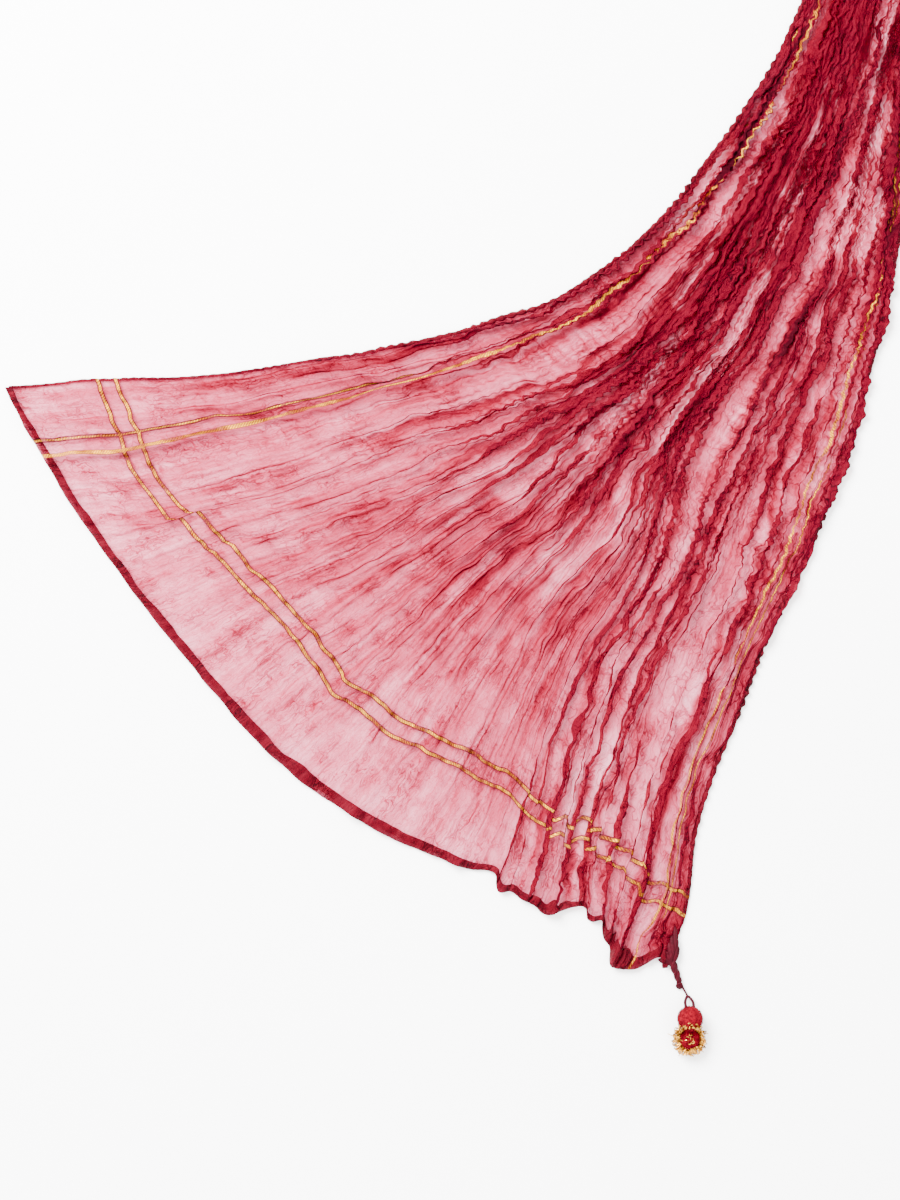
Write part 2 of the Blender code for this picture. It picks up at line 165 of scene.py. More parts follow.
# Stretches of cloth that lie open, and tight bunches where open is below zero; drift
# is how far across the cut one wanders for each metre along
Stretch = namedtuple("Stretch", "cut wide start end open drift", defaults=(0.0,))
STRETCHES = [
    Stretch(0.016, 0.010, 0.18, 1.00, -2.4),
    Stretch(0.036, 0.010, 0.58, 0.76, 2.4),
    Stretch(0.090, 0.007, 0.55, 0.95, -1.8),
    Stretch(0.088, 0.004, 0.34, 0.60, -2.0),
    Stretch(0.100, 0.003, 0.34, 0.70, -1.6),
    Stretch(0.119, 0.009, 0.40, 0.62, 3.4),
    Stretch(0.139, 0.005, 0.25, 0.60, -2.6),
    Stretch(0.152, 0.007, 0.50, 0.90, 2.0),
    Stretch(0.178, 0.005, 0.40, 0.80, -2.0),
    Stretch(0.205, 0.008, 0.42, 0.78, 2.4),
    Stretch(0.235, 0.005, 0.18, 0.60, -1.6),
    Stretch(0.262, 0.006, 0.38, 0.56, 1.6),
    Stretch(0.330, 0.007, 0.26, 0.50, -1.8),
    Stretch(0.400, 0.006, 0.30, 0.44, -1.4),
    Stretch(0.480, 0.010, 0.24, 0.55, -2.8),
    Stretch(0.520, 0.008, 0.44, 0.60, 1.6),
    Stretch(0.565, 0.006, 0.26, 0.60, -1.4),
    Stretch(0.615, 0.008, 0.24, 0.44, -2.0),
    Stretch(0.700, 0.004, -0.10, 0.12, -2.6),
    Stretch(0.722, 0.006, 0.12, 0.30, -1.4),
    Stretch(0.747, 0.007, -0.10, 0.90, -2.8),
    Stretch(0.776, 0.0075, 0.34, 0.90, 2.8),
    Stretch(0.786, 0.0025, 0.30, 0.70, -1.5),
    Stretch(0.772, 0.008, 0.00, 0.14, 1.6),
    Stretch(0.792, 0.005, -0.10, 0.90, -2.8),
    Stretch(0.811, 0.006, 0.05, 0.90, 1.6),
    Stretch(0.825, 0.006, -0.10, 0.60, -2.8),
    Stretch(0.843, 0.005, -0.10, 0.10, 1.6),
    Stretch(0.858, 0.005, -0.10, 0.16, -2.6),
    Stretch(0.876, 0.016, 0.16, 0.50, 3.0),
    Stretch(0.876, 0.010, 0.60, 0.76, 2.6),
    Stretch(0.896, 0.005, 0.36, 0.80, -1.8),
    Stretch(0.924, 0.007, -0.10, 0.50, -2.8),
    Stretch(0.943, 0.007, 0.04, 0.30, 1.8),
    Stretch(0.975, 0.008, 0.03, 0.45, -2.0),
    Stretch(0.985, 0.012, 0.50, 1.20, -2.4),
    Stretch(0.955, 0.012, 0.62, 1.20, -2.6),
    Stretch(0.920, 0.016, 0.72, 1.20, -2.4),
    Stretch(0.890, 0.007, -0.10, 0.05, -2.2),
    Stretch(0.972, 0.012, -0.10, 0.06, -2.2),
    Stretch(0.500, 0.010, 0.40, 0.56, 3.0, -1.10),
    Stretch(0.570, 0.007, 0.40, 0.56, 3.0, -0.90),
    Stretch(0.340, 0.006, 0.36, 0.50, 3.2, -0.40),
    Stretch(0.668, 0.015, 0.46, 0.63, 4.6),
    Stretch(0.622, 0.006, 0.42, 0.56, 3.0),
    Stretch(0.590, 0.013, 0.61, 0.76, 4.8),
    Stretch(0.515, 0.014, 0.66, 0.82, 4.8),
    Stretch(0.430, 0.006, 0.80, 0.98, 3.2),
    Stretch(0.725, 0.013, 0.79, 0.98, 4.4),
    Stretch(0.300, 0.007, 0.56, 0.70, 3.0),
    Stretch(0.238, 0.010, 0.46, 0.78, 4.2),
    Stretch(0.380, 0.005, 0.60, 0.74, 2.6),
    Stretch(0.990, 0.011, -0.10, 0.50, -2.6),
    Stretch(0.712, 0.0028, 0.05, 0.45, -1.8),
    Stretch(0.733, 0.0032, 0.00, 0.50, -2.0),
    Stretch(0.760, 0.0028, 0.02, 0.40, -1.7),
    Stretch(0.804, 0.0032, 0.00, 0.80, -2.0),
    Stretch(0.816, 0.0026, 0.10, 0.60, -1.6),
    Stretch(0.846, 0.0100, 0.60, 0.77, 3.8),
    Stretch(0.898, 0.0075, 0.62, 0.77, 3.6),
    Stretch(0.855, 0.0030, 0.36, 0.56, -1.9),
    Stretch(0.870, 0.0030, 0.45, 0.85, -1.9),
    Stretch(0.888, 0.0030, 0.34, 0.58, -1.8),
    Stretch(0.838, 0.0032, 0.00, 0.40, -2.0),
    Stretch(0.868, 0.0032, 0.00, 0.20, -2.0),
    Stretch(0.908, 0.0032, 0.05, 0.60, -1.8),
    Stretch(0.940, 0.0034, 0.10, 0.70, -2.0),
    Stretch(0.957, 0.0030, 0.00, 0.40, -2.0),
    Stretch(0.668, 0.0030, 0.10, 0.40, -1.4),
    Stretch(0.640, 0.0030, 0.18, 0.45, -1.4),
    Stretch(0.440, 0.0034, 0.20, 0.42, -1.6),
    Stretch(0.360, 0.0030, 0.22, 0.42, -1.4),
    Stretch(0.285, 0.0030, 0.20, 0.42, -1.5),
]

# Spots where the gathered cloth parts into fewer layers, or closes up where thin is
# below zero: place across the row and along, half sizes, drift and how much thinner
Parting = namedtuple("Parting", "across along wide long drift thin")
PARTINGS = [
    Parting(0.100, 0.770, 0.022, 0.130, 0.00, -1.80),
    Parting(0.383, 0.485, 0.0163, 0.086, -0.58, 0.95),
    Parting(0.444, 0.520, 0.0062, 0.065, -0.45, 0.67),
    Parting(0.512, 0.470, 0.0120, 0.065, -0.88, 0.72),
    Parting(0.507, 0.565, 0.0300, 0.073, -0.16, 0.95),
    Parting(0.554, 0.550, 0.0108, 0.039, 0.05, 0.92),
    Parting(0.449, 0.634, 0.0096, 0.013, -0.01, 0.82),
    Parting(0.453, 0.664, 0.0169, 0.019, 0.32, 0.94),
    Parting(0.473, 0.712, 0.0157, 0.048, 0.47, 0.95),
    Parting(0.425, 0.742, 0.0252, 0.071, -0.09, 0.95),
    Parting(0.554, 0.842, 0.0329, 0.039, -0.14, 0.94),
    Parting(0.468, 0.796, 0.0114, 0.010, 0.01, 0.82),
    Parting(0.337, 0.660, 0.0101, 0.014, -0.07, 0.77),
    Parting(0.368, 0.640, 0.0073, 0.011, -0.06, 0.72),
    Parting(0.385, 0.705, 0.0092, 0.009, -0.05, 0.67),
    Parting(0.725, 0.700, 0.0565, 0.052, 0.41, 0.92),
    Parting(0.770, 0.770, 0.0469, 0.032, 0.52, 0.90),
    Parting(0.702, 0.836, 0.0455, 0.041, 0.40, 0.95),
    Parting(0.847, 0.692, 0.0430, 0.032, 0.47, 0.86),
    Parting(0.648, 0.875, 0.0468, 0.022, 0.05, 0.90),
    Parting(0.610, 0.690, 0.0120, 0.026, 0.05, 0.87),
    Parting(0.251, 0.600, 0.0152, 0.050, -0.40, 0.92),
    Parting(0.220, 0.672, 0.0172, 0.028, 0.15, 0.90),
    Parting(0.251, 0.724, 0.0172, 0.041, 0.22, 0.94),
    Parting(0.124, 0.740, 0.0182, 0.050, -0.03, 0.88),
    Parting(0.198, 0.764, 0.0424, 0.043, 0.91, 0.74),
    Parting(0.149, 0.836, 0.0252, 0.052, 1.10, 0.95),
    Parting(0.247, 0.852, 0.0153, 0.024, 0.41, 0.90),
    Parting(0.051, 0.670, 0.0387, 0.058, -0.61, 0.72),
    Parting(0.590, 0.330, 0.0581, 0.070, 0.10, 0.34),
    Parting(0.416, 0.360, 0.0690, 0.050, -0.06, 0.32),
    Parting(0.344, 0.330, 0.0436, 0.050, 0.03, 0.28),
    Parting(0.846, 0.130, 0.0328, 0.060, -0.20, 0.28),
    Parting(0.420, 0.826, 0.0237, 0.030, -0.03, -1.30),
    Parting(0.688, 0.600, 0.0235, 0.075, 0.05, -1.20),
    Parting(0.618, 0.735, 0.0145, 0.050, 0.26, -1.20),
    Parting(0.674, 0.700, 0.0079, 0.030, 0.28, -1.60),
    Parting(0.115, 0.600, 0.0164, 0.110, -0.03, -1.20),
    Parting(0.225, 0.600, 0.0113, 0.060, 0.04, -1.50),
    Parting(0.090, 0.760, 0.0190, 0.100, -0.16, -0.90),
    Parting(0.586, 0.740, 0.0159, 0.120, 0.15, -1.00),
    Parting(0.558, 0.490, 0.0093, 0.060, 0.07, -1.00),
    Parting(0.483, 0.660, 0.0126, 0.030, 0.15, -1.50),
    Parting(0.448, 0.450, 0.0220, 0.040, -0.63, -1.00),
    Parting(0.341, 0.700, 0.0231, 0.040, -0.84, -0.70),
    Parting(0.403, 0.600, 0.0079, 0.060, 0.16, -0.90),
    Parting(0.927, 0.720, 0.0469, 0.060, -0.93, -0.90),
]

# How far the cloth is pushed along its length near the fanned end, most at the push's
# middle and fading to both sides of it
Push = namedtuple("Push", "cut along")
PUSHES = [
    Push(0.000, 0.003),
    Push(0.045, -0.002),
    Push(0.060, -0.001),
    Push(0.095, -0.006),
    Push(0.160, -0.006),
    Push(0.170, 0.002),
    Push(0.215, 0.003),
    Push(0.225, 0.008),
    Push(0.290, 0.010),
    Push(0.305, 0.013),
    Push(0.360, 0.012),
    Push(0.375, 0.007),
    Push(0.400, 0.002),
    Push(0.430, -0.003),
    Push(0.500, 0.000),
    Push(0.560, 0.004),
    Push(0.600, 0.009),
    Push(0.660, 0.008),
    Push(0.700, -0.002),
    Push(0.742, -0.006),
    Push(0.750, -0.012),
    Push(0.762, -0.013),
    Push(0.768, -0.006),
    Push(0.780, -0.007),
    Push(0.786, -0.013),
    Push(0.798, -0.012),
    Push(0.806, -0.003),
    Push(0.816, -0.002),
    Push(0.822, -0.009),
    Push(0.838, -0.006),
    Push(0.846, -0.014),
    Push(0.860, -0.008),
    Push(0.868, -0.017),
    Push(0.886, -0.012),
    Push(0.894, -0.021),
    Push(0.912, -0.018),
    Push(0.920, -0.027),
    Push(0.940, -0.031),
    Push(1.000, -0.041),
]
PUSH_MIDDLE = 0.085
PUSH_FADE = 0.13

# Points across the cloth, and how many large folds and small pleats it has
COLUMNS = 801
FOLDS = 34
PLEATS = 84

# How closely folds follow each other at places across the cut, beside an even share
FOLD_RATES = ((0.0, 1.3), (0.08, 1.1), (0.12, 0.8), (0.30, 0.8), (0.62, 0.85), (0.70, 1.3), (1.0, 1.5))

# Soft noise on the cloth: size, how often it turns across, length along in metres,
# seed, shift across, and how far it leans across for each metre along
Ripple = namedtuple("Ripple", "size often long seed shift lean", defaults=(0.0, 0.0))
FOLD_WIDTHS = (Ripple(1.1, 1.0, 0.40, 21), Ripple(0.5, 2.1, 0.16, 22, 40.0))
PLEAT_WIDTHS = (Ripple(1.3, 0.9, 0.055, 31, 7.0), Ripple(0.7, 0.3, 0.16, 32))
PLEAT_PATHS = (Ripple(0.30, 26, 0.045, 33), Ripple(0.14, 60, 0.014, 38))
CRUSH_OF_PLEATS = Ripple(0.8, 0.8, 0.07, 36, 19.0)
CRUSH_OF_CUT = Ripple(0.5, 160, 0.03, 37)
CRUSH_TURNS = (Ripple(0.60, 270, 0.018, 34), Ripple(0.45, 140, 0.014, 35, 0.0, 60.0))
LEANS = Ripple(20, 0.7, 0.3, 41)
LEAN_SIDES = Ripple(1, 0.12, 0.9, 42, 3.0)
BEAD_STARTS = Ripple(0.9, 30, 0.05, 51)
BEAD_SIZES = Ripple(0.4, 14, 0.12, 52)
SIDEWAYS = (Ripple(0.0007, 16, 0.010, 61), Ripple(0.0022, 7, 0.04, 62))
FINE_RELIEF = Ripple(1, 90, 0.012, 71)
SLANTED_RELIEF = Ripple(1, 150, 0.009, 73, 0.0, -90.0)
SLOW_RELIEF = Ripple(1, 34, 0.035, 72)
SLIPS = (Ripple(0.0016, 62, 0.035, 81), Ripple(0.0024, 25, 0.09, 82))
RUFFLE_SLIP = Ripple(0.0026, 84, 0.03, 83)

# Lengths in metres: a bead of the crush, a scallop of the sides and a bead of the
# rolled hems, how a stretch fades at its ends, how high the lowest turns lie, and
# the lowest that a new surface comes
BEAD = 0.0088
SCALLOP = 0.0095
ROLLED_BEAD = 0.0092
STRETCH_FADE = 0.05
LIFT = 0.0012
LOWEST = 0.0002

# Shares of the cut: the margins beside the side hems, and where the ruffles begin
MARGIN = 0.012
RUFFLED_FROM = 0.68
RUFFLED_WHOLE = 0.76

# The least and most that a part of the cloth may lie spread, and posts across a row
# between which it is stretched on to its place
LEAST_LIE = 0.03
MOST_LIE = 0.985
POSTS = 27

# The one sheet in strips: from and to along the cloth, rows of points in it, and
# every which column it keeps
Strip = namedtuple("Strip", "name start end rows skip")
HEM_INSET = END_HEM_DEPTH * 0.35
STRIPS = (
    Strip("silk_fanned", HEM_INSET, 0.34, 112, 1),
    Strip("silk_rising", 0.34, 0.60, 116, 1),
    Strip("silk_gathered", 0.60, 0.90, 116, 1),
    Strip("silk_behind", 0.90, 1.65, 150, 2),
    Strip("silk_far", 1.65, CLOTH_LENGTH - HEM_INSET, 150, 2),
)

# Middles of the woven gold lines in metres of cut cloth, from a side and from an end,
# how much of its half width each side line shows, the width of the painted shadow
# beside a line, and how softly lines end
SIDE_LINES = (0.060, 0.076, CLOTH_WIDTH - 0.045, CLOTH_WIDTH - 0.033)
SIDE_LINES_SHOW = (0.6, 1.6, 1.0, 0.3)
END_LINES = (0.080, 0.097, CLOTH_LENGTH - 0.080, CLOTH_LENGTH - 0.097)
LINE_HALF = 0.0011
LINE_SHADOW = 0.0011
LINE_SOFT = 0.0004
GOLD_TWIST = 0.0026

# Patterns of the crushed silk on its flat cut: millimetres across and along, start,
# how far slow noise bends it, its detail and its roughness
Pattern = namedtuple("Pattern", "across_mm along_mm start bend detail rough", defaults=(0.0, 2.0, 0.5))
SLOW_BEND = Pattern(9, 14, 3.1)
LONG_CREASES = Pattern(4.6, 40, 1.7, 1.3, 3.0, 0.55)
CREASE_NET = Pattern(9, 17, 5.3, 1.3)
FINE_NET = Pattern(3.6, 6.0, 8.9, 1.1)
STREAKS = Pattern(3.8, 60, 21.7, 0.6, 2.0, 0.6)
CRACKS = Pattern(20, 34, 14.9, 0.9)
PATCHES = Pattern(26, 44, 12.0)
BROAD_SHADES = Pattern(15, 85, 33.1, 0.5, 1.0)
BEAD_SWAY = Pattern(30, 50, 40.0, 0.0, 1.0)
# Patches of painted glint on the woven gold
PAINTED_GLINTS = Pattern(22, 22, 52.0)
HAIRS = Pattern(9, 15, 71.0, 1.5)

# What one layer of crimson silk takes from red, green and blue light that crosses it
ABSORBED = (0.41, 1.03, 0.86)

# Names of nodes, and settings that several of them share
MATHS = "ShaderNodeMath"
NOISE = "ShaderNodeTexNoise"
RANGE = "ShaderNodeMapRange"
MIX = "ShaderNodeMix"
TIMES = {"operation": "MULTIPLY"}
PLUS = {"operation": "ADD"}
MINUS = {"operation": "SUBTRACT"}
TIMES_PLUS = {"operation": "MULTIPLY_ADD"}
OF_COLOURS = {"data_type": "RGBA"}
FLAT_NOISE = {"noise_dimensions": "2D"}
FLAT_CELLS = {"voronoi_dimensions": "2D", "feature": "DISTANCE_TO_EDGE"}

BALL_BOX = [np.array(corner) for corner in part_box("tassel_ball")]
SHIFT = (BALL_BOX[0][:2] + BALL_BOX[1][:2]) / 2 - np.array(BALL_AT)


def smooth_curve(x, knots, values):
    """Cubic through the knots; each knot's slope is that of its neighbours' chord."""
    knots = np.asarray(knots, float)
    values = np.asarray(values, float)
    slopes = np.gradient(values, knots)
    i = np.clip(np.searchsorted(knots, x) - 1, 0, len(knots) - 2)
    span = knots[i + 1] - knots[i]
    t = (np.asarray(x, float) - knots[i]) / span
    a = 2 * t**3 - 3 * t**2 + 1
    b = t**3 - 2 * t**2 + t
    c = -2 * t**3 + 3 * t**2
    d = t**3 - t**2
    return a * values[i] + b * span * slopes[i] + c * values[i + 1] + d * span * slopes[i + 1]


def plan(along, across):
    """Points on the surface at shares across rows: a chord, bowed and waved.

    along is one value a row, and across has a row of shares for each of them.
    """
    knots = [s.along for s in SECTIONS]
    x, y, width, heading, bow = (
        smooth_curve(along, knots, [s[k] for s in SECTIONS])[:, None] for k in range(1, 6))
    turn = np.radians(heading)
    wave = smooth_curve(np.clip(across, 0, 1), *zip(*HEM_WAVES))
    wave = wave + 0.0024 * soft_noise(across * 60, across * 0 + 0.5, 65) * soft_step(across, 0.72, 0.8)
    out = bow * 4 * across * (1 - across) + wave * np.exp(-along[:, None] / WAVE_FADE)
    side = (across - 0.5) * width
    return (x + side * np.sin(turn) - out * np.cos(turn) + SHIFT[0],
            y - side * np.cos(turn) - out * np.sin(turn) + SHIFT[1])


def row_lengths(along):
    """Length of each row, measured along its bow."""
    x, y = plan(along, np.tile(np.linspace(0, 1, 160), (len(along), 1)))
    return np.hypot(np.diff(x, axis=1), np.diff(y, axis=1)).sum(axis=1)


def soft_noise(x, y, seed):
    """Noise between -1 and 1: seeded lattice values blended by a soft curve."""
    table = np.random.default_rng(seed).uniform(-1, 1, (256, 256))
    x, y = np.broadcast_arrays(x, y)
    left, low = np.floor(x).astype(int), np.floor(y).astype(int)
    p, q = x - left, y - low
    p = p**3 * (p * (p * 6 - 15) + 10)
    q = q**3 * (q * (q * 6 - 15) + 10)
    a, b = table[left % 256, low % 256], table[(left + 1) % 256, low % 256]
    c, d = table[left % 256, (low + 1) % 256], table[(left + 1) % 256, (low + 1) % 256]
    return (a + (b - a) * p) * (1 - q) + (c + (d - c) * p) * q


def soft_step(x, start, end):
    """0 before start, 1 after end, and a soft rise between them."""
    t = np.clip((x - start) / (end - start), 0, 1)
    return t * t * (3 - 2 * t)


def box_mean(values, half):
    """Mean of each row's values over a window, its ends mirrored."""
    padded = np.pad(values, ((0, 0), (half + 1, half)), mode="reflect")
    total = np.cumsum(padded, axis=1)
    return (total[:, 2 * half + 1:] - total[:, :-2 * half - 1]) / (2 * half + 1)


def counted(cut, count, sway, seed):
    """How many folds lie before each cut place: their widths follow the rates and sway."""
    rate = np.interp(cut, *zip(*FOLD_RATES))
    rate = rate * (1 + sway * soft_noise(cut * count * 0.55, np.full_like(cut, 0.5), seed))
    total = np.concatenate([[0], np.cumsum((rate[1:] + rate[:-1]) / 2)])
    return total / total[-1] * count


def narrowing(turn):
    """How wide a fold lies whose slope swings to turn and back: the mean of its cosine."""
    swing = np.linspace(0, np.pi, 33)
    return np.cos(np.multiply.outer(turn, np.sin(swing))).mean(axis=-1)


TURNS = np.linspace(0, 2.404, 241)
TURN_LIES = narrowing(TURNS)


def turn_for(lies):
    """The swing of slope that makes folds lie as wide as asked."""
    return np.interp(-np.clip(lies, 0, 1), -TURN_LIES, TURNS)


def shared_out(lie, unevenness, half):
    """Makes some folds lie wider and some tighter, and keeps each window's mean."""
    logit = np.log(lie / (1 - lie)) + unevenness
    goal = box_mean(lie, half)
    shift = 0.0
    for _ in range(7):
        lies = 1 / (1 + np.exp(-(logit + shift)))
        shift = shift + 1.2 * np.log(goal / box_mean(lies, half))
    return np.clip(1 / (1 + np.exp(-(logit + shift))), 0.02, 0.995)


def gathering(along, cut):
    """From 0 where the cloth lies fanned and flat to 1 where it is gathered in folds."""
    throat = soft_step(along, 0.20, 0.48)
    ruffled = soft_step(cut, 0.66, 0.74) * soft_step(along, -0.12, 0.08)
    return np.maximum(throat, ruffled)


def share_across(along, cut, lengths):
    """Where each share of the cut lies across each row, in metres from its left side."""
    table = [smooth_curve(cut, [s.cut for s in SPREADS], [s[k] for s in SPREADS])
             for k in range(1, len(SPREAD_PLACES) + 1)]
    table = np.array(table)
    place = np.interp(along, SPREAD_PLACES, np.arange(len(SPREAD_PLACES)))
    first = np.clip(place.astype(int), 0, len(SPREAD_PLACES) - 2)
    part = (place - first)[:, None]
    part = part * part * (3 - 2 * part)
    return (table[first] * (1 - part) + table[first + 1] * part) * lengths


def parting(share, along, wobble):
    """What the cloth's layers are multiplied by at the listed spots.

    A spot is an ellipse of soft edge whose radius noise makes ragged.
    """
    ragged = 0.30 * soft_noise(share * 45, along / 0.012, 27)
    ragged = ragged + 0.20 * soft_noise(share * 150, along / 0.035, 28)
    found = 1.0
    for p in PARTINGS:
        middle = p.across + p.drift * (along - p.along) + wobble
        off = np.hypot((share - middle) / p.wide, (along - p.along) / p.long) + ragged
        found = found * (1 - p.thin * (1 - soft_step(off, 0.80, 1.15)))
    return found


def layers_at(share):
    """How many layers of the row lie at each point: lengths of cloth in each bin across."""
    bins = 200
    spot = (np.clip(share, 0, 0.999) * bins).astype(int)
    found = np.zeros((len(share), bins))
    np.add.at(found, (np.arange(len(share))[:, None], spot), np.abs(np.gradient(share, axis=1)) * bins)
    return np.take_along_axis(np.maximum(box_mean(found, 1), 1), spot, axis=1)


def rippled(x, v, *ripples):
    """The sum of soft noises at places x across and v along the cloth."""
    return sum(r.size * soft_noise(x * r.often + r.shift + v * r.lean, v / r.long, r.seed) for r in ripples)


def opened_and_pressed(v, u):
    """How far the listed stretches open the cloth, and how hard the tight ones press it.

    A stretch is a bell across the cut, round a middle that drifts and wanders, and it
    fades in and out along the cloth.  A tight one also presses an area with steep sides.
    """
    opened, pressed = 0.0, 0.0
    for s in STRETCHES:
        own = s.cut * 90
        middle = s.cut + s.drift * (v - s.start) + 0.0035 * soft_noise(v / 0.06, own, 23)
        middle = middle + 0.0012 * soft_noise(v / 0.016, own, 24)
        fade = soft_step(v, s.start - STRETCH_FADE, s.start + STRETCH_FADE)
        fade = fade * (1 - soft_step(v, s.end - STRETCH_FADE, s.end + STRETCH_FADE))
        opened = opened + s.open * np.exp(-((u - middle) / s.wide) ** 2) * fade
        if s.open < 0:
            steep = np.exp(-((u - middle) / (0.8 * s.wide)) ** 4) * fade
            pressed = pressed - 0.45 * s.open * steep * (1 + 0.7 * soft_noise(v / 0.045, own + 0.5, 25))
    return opened, pressed


def taken_up(lie, gathered, opened, folds, pleats, v, u):
    """The shares of its width that the crush, the folds and the pleats leave the cloth.

    Each is a power of the whole share, and the three powers add up to one.  Noise and
    the stretches then make some places lie wider and others tighter.
    """
    half = int(0.05 * lie.shape[1])
    of_crush = 0.58 - 0.52 * gathered
    of_pleats = 0.32 + 0.02 * gathered
    for_crush = rippled(pleats, v, CRUSH_OF_PLEATS) + rippled(u, v, CRUSH_OF_CUT)
    for_folds = (rippled(folds, v, *FOLD_WIDTHS) + opened) * (0.35 + 0.9 * gathered)
    for_pleats = 1.1 * rippled(pleats, v, *PLEAT_WIDTHS) + 0.5 * opened * gathered
    crush = shared_out(np.clip(lie ** of_crush, LEAST_LIE, MOST_LIE), for_crush, half // 2)
    big = shared_out(np.clip(lie ** (1 - of_pleats - of_crush), LEAST_LIE, MOST_LIE), for_folds, half)
    small = shared_out(np.clip(lie ** of_pleats * MOST_LIE, LEAST_LIE, MOST_LIE), for_pleats, half // 2)
    return crush, big, small


def between_posts(values, posts):
    """Straight lines from post to post through each row's values there."""
    place = np.interp(np.arange(values.shape[1]), posts, np.arange(len(posts)))
    first = np.clip(place.astype(int), 0, len(posts) - 2)
    part = place - first
    return values[:, posts[first]] * (1 - part) + values[:, posts[first + 1]] * part


def turned_rows(angle, step, folds, goal):
    """How far across and how high each point of the rows comes.

    They are the sums of the slope's cosine and sine times the step.  The row is then
    brought down to the floor between its folds, and across to its goal at the posts.
    """
    middle = (angle[:, 1:] + angle[:, :-1]) / 2
    start = np.zeros((len(angle), 1))
    across, height = (np.concatenate([start, np.cumsum(part(middle) * step, axis=1)], axis=1)
                      for part in (np.cos, np.sin))
    last = angle.shape[1] - 1
    lows = np.clip(np.searchsorted(folds, np.arange(FOLDS + 1) - 1e-9), 0, last)
    height = np.maximum(height - between_posts(height, lows) + LIFT, 0)
    posts = np.linspace(0, last, POSTS).astype(int)
    return across + between_posts(goal - across, posts), height


def leaned_over(across, height, opened, gathered, bead, folds, v):
    """The crests leaned to one side: their height's sine goes across, its cosine stays.

    The angle grows where the cloth is gathered, and the opened stretches stay upright.
    """
    columns = across.shape[1]
    upright = box_mean(np.broadcast_to(opened, across.shape), int(0.012 * columns))
    upright = np.clip(upright, 0, 2.5) / 2.5
    lean = np.radians(10 + (40 + rippled(folds, v, LEANS)) * gathered)
    lean = (lean + gathered * 0.16 * bead) * (1 - 0.85 * upright)
    side = np.clip((rippled(folds, v, LEAN_SIDES) + 0.35) * 5, -1, 1)
    side = box_mean(side, max(3, columns // FOLDS // 2))
    return across + side * height * np.sin(lean), height * np.cos(lean)


def crinkled(across, tall, gathered, bead, v, u):
    """The smallest relief: noise and beads sideways and upwards, and scalloped sides.

    Near the lower right corner a bell along the cloth draws it towards its tail.
    """
    margin = soft_step(u, 0, MARGIN) * (1 - soft_step(u, 1 - MARGIN, 1))
    sideways = rippled(u, v, *SIDEWAYS) + 0.0010 * bead * soft_step(v, 0.22, 0.45)
    across = across + sideways * (0.35 + 0.65 * gathered) * (0.3 + 0.7 * margin)
    drawn = 0.018 * soft_step(u, 0.86, 0.98) * np.exp(-((v - 0.080) / 0.06) ** 2)
    across = across + drawn * soft_step(v, 0, 0.06)
    scallop = np.sin(2 * np.pi * (v / SCALLOP + 0.5 * soft_noise(v / 0.07, u * 0, 63)))
    scallop = 0.0004 * (1 + soft_noise(v / 0.03, u * 0, 64)) * scallop
    across = across + scallop * (1 - margin) * (0.25 + 0.75 * soft_step(v, 0.05, 0.4))
    tall = tall + 0.0005 * (1 + rippled(u, v, FINE_RELIEF))
    tall = tall + 0.0005 * (1 + rippled(u, v, SLANTED_RELIEF)) * (1 - 0.5 * gathered)
    tall = tall + 0.0009 * (1 + rippled(u, v, SLOW_RELIEF)) * (0.4 + 0.6 * margin)
    return across, tall + gathered * 0.0006 * (1 + bead)


def slipped(cut, v, u):
    """How far the cloth is pushed along its length: noise plus the listed pushes."""
    slip = rippled(u, v, *SLIPS) + rippled(u, v, RUFFLE_SLIP) * soft_step(u, RUFFLED_FROM, RUFFLED_WHOLE)
    push = np.interp(cut, *zip(*PUSHES))
    slip = slip + push * np.exp(-((v - PUSH_MIDDLE) / PUSH_FADE) ** 2)
    return slip * soft_step(v, 0, 0.07)


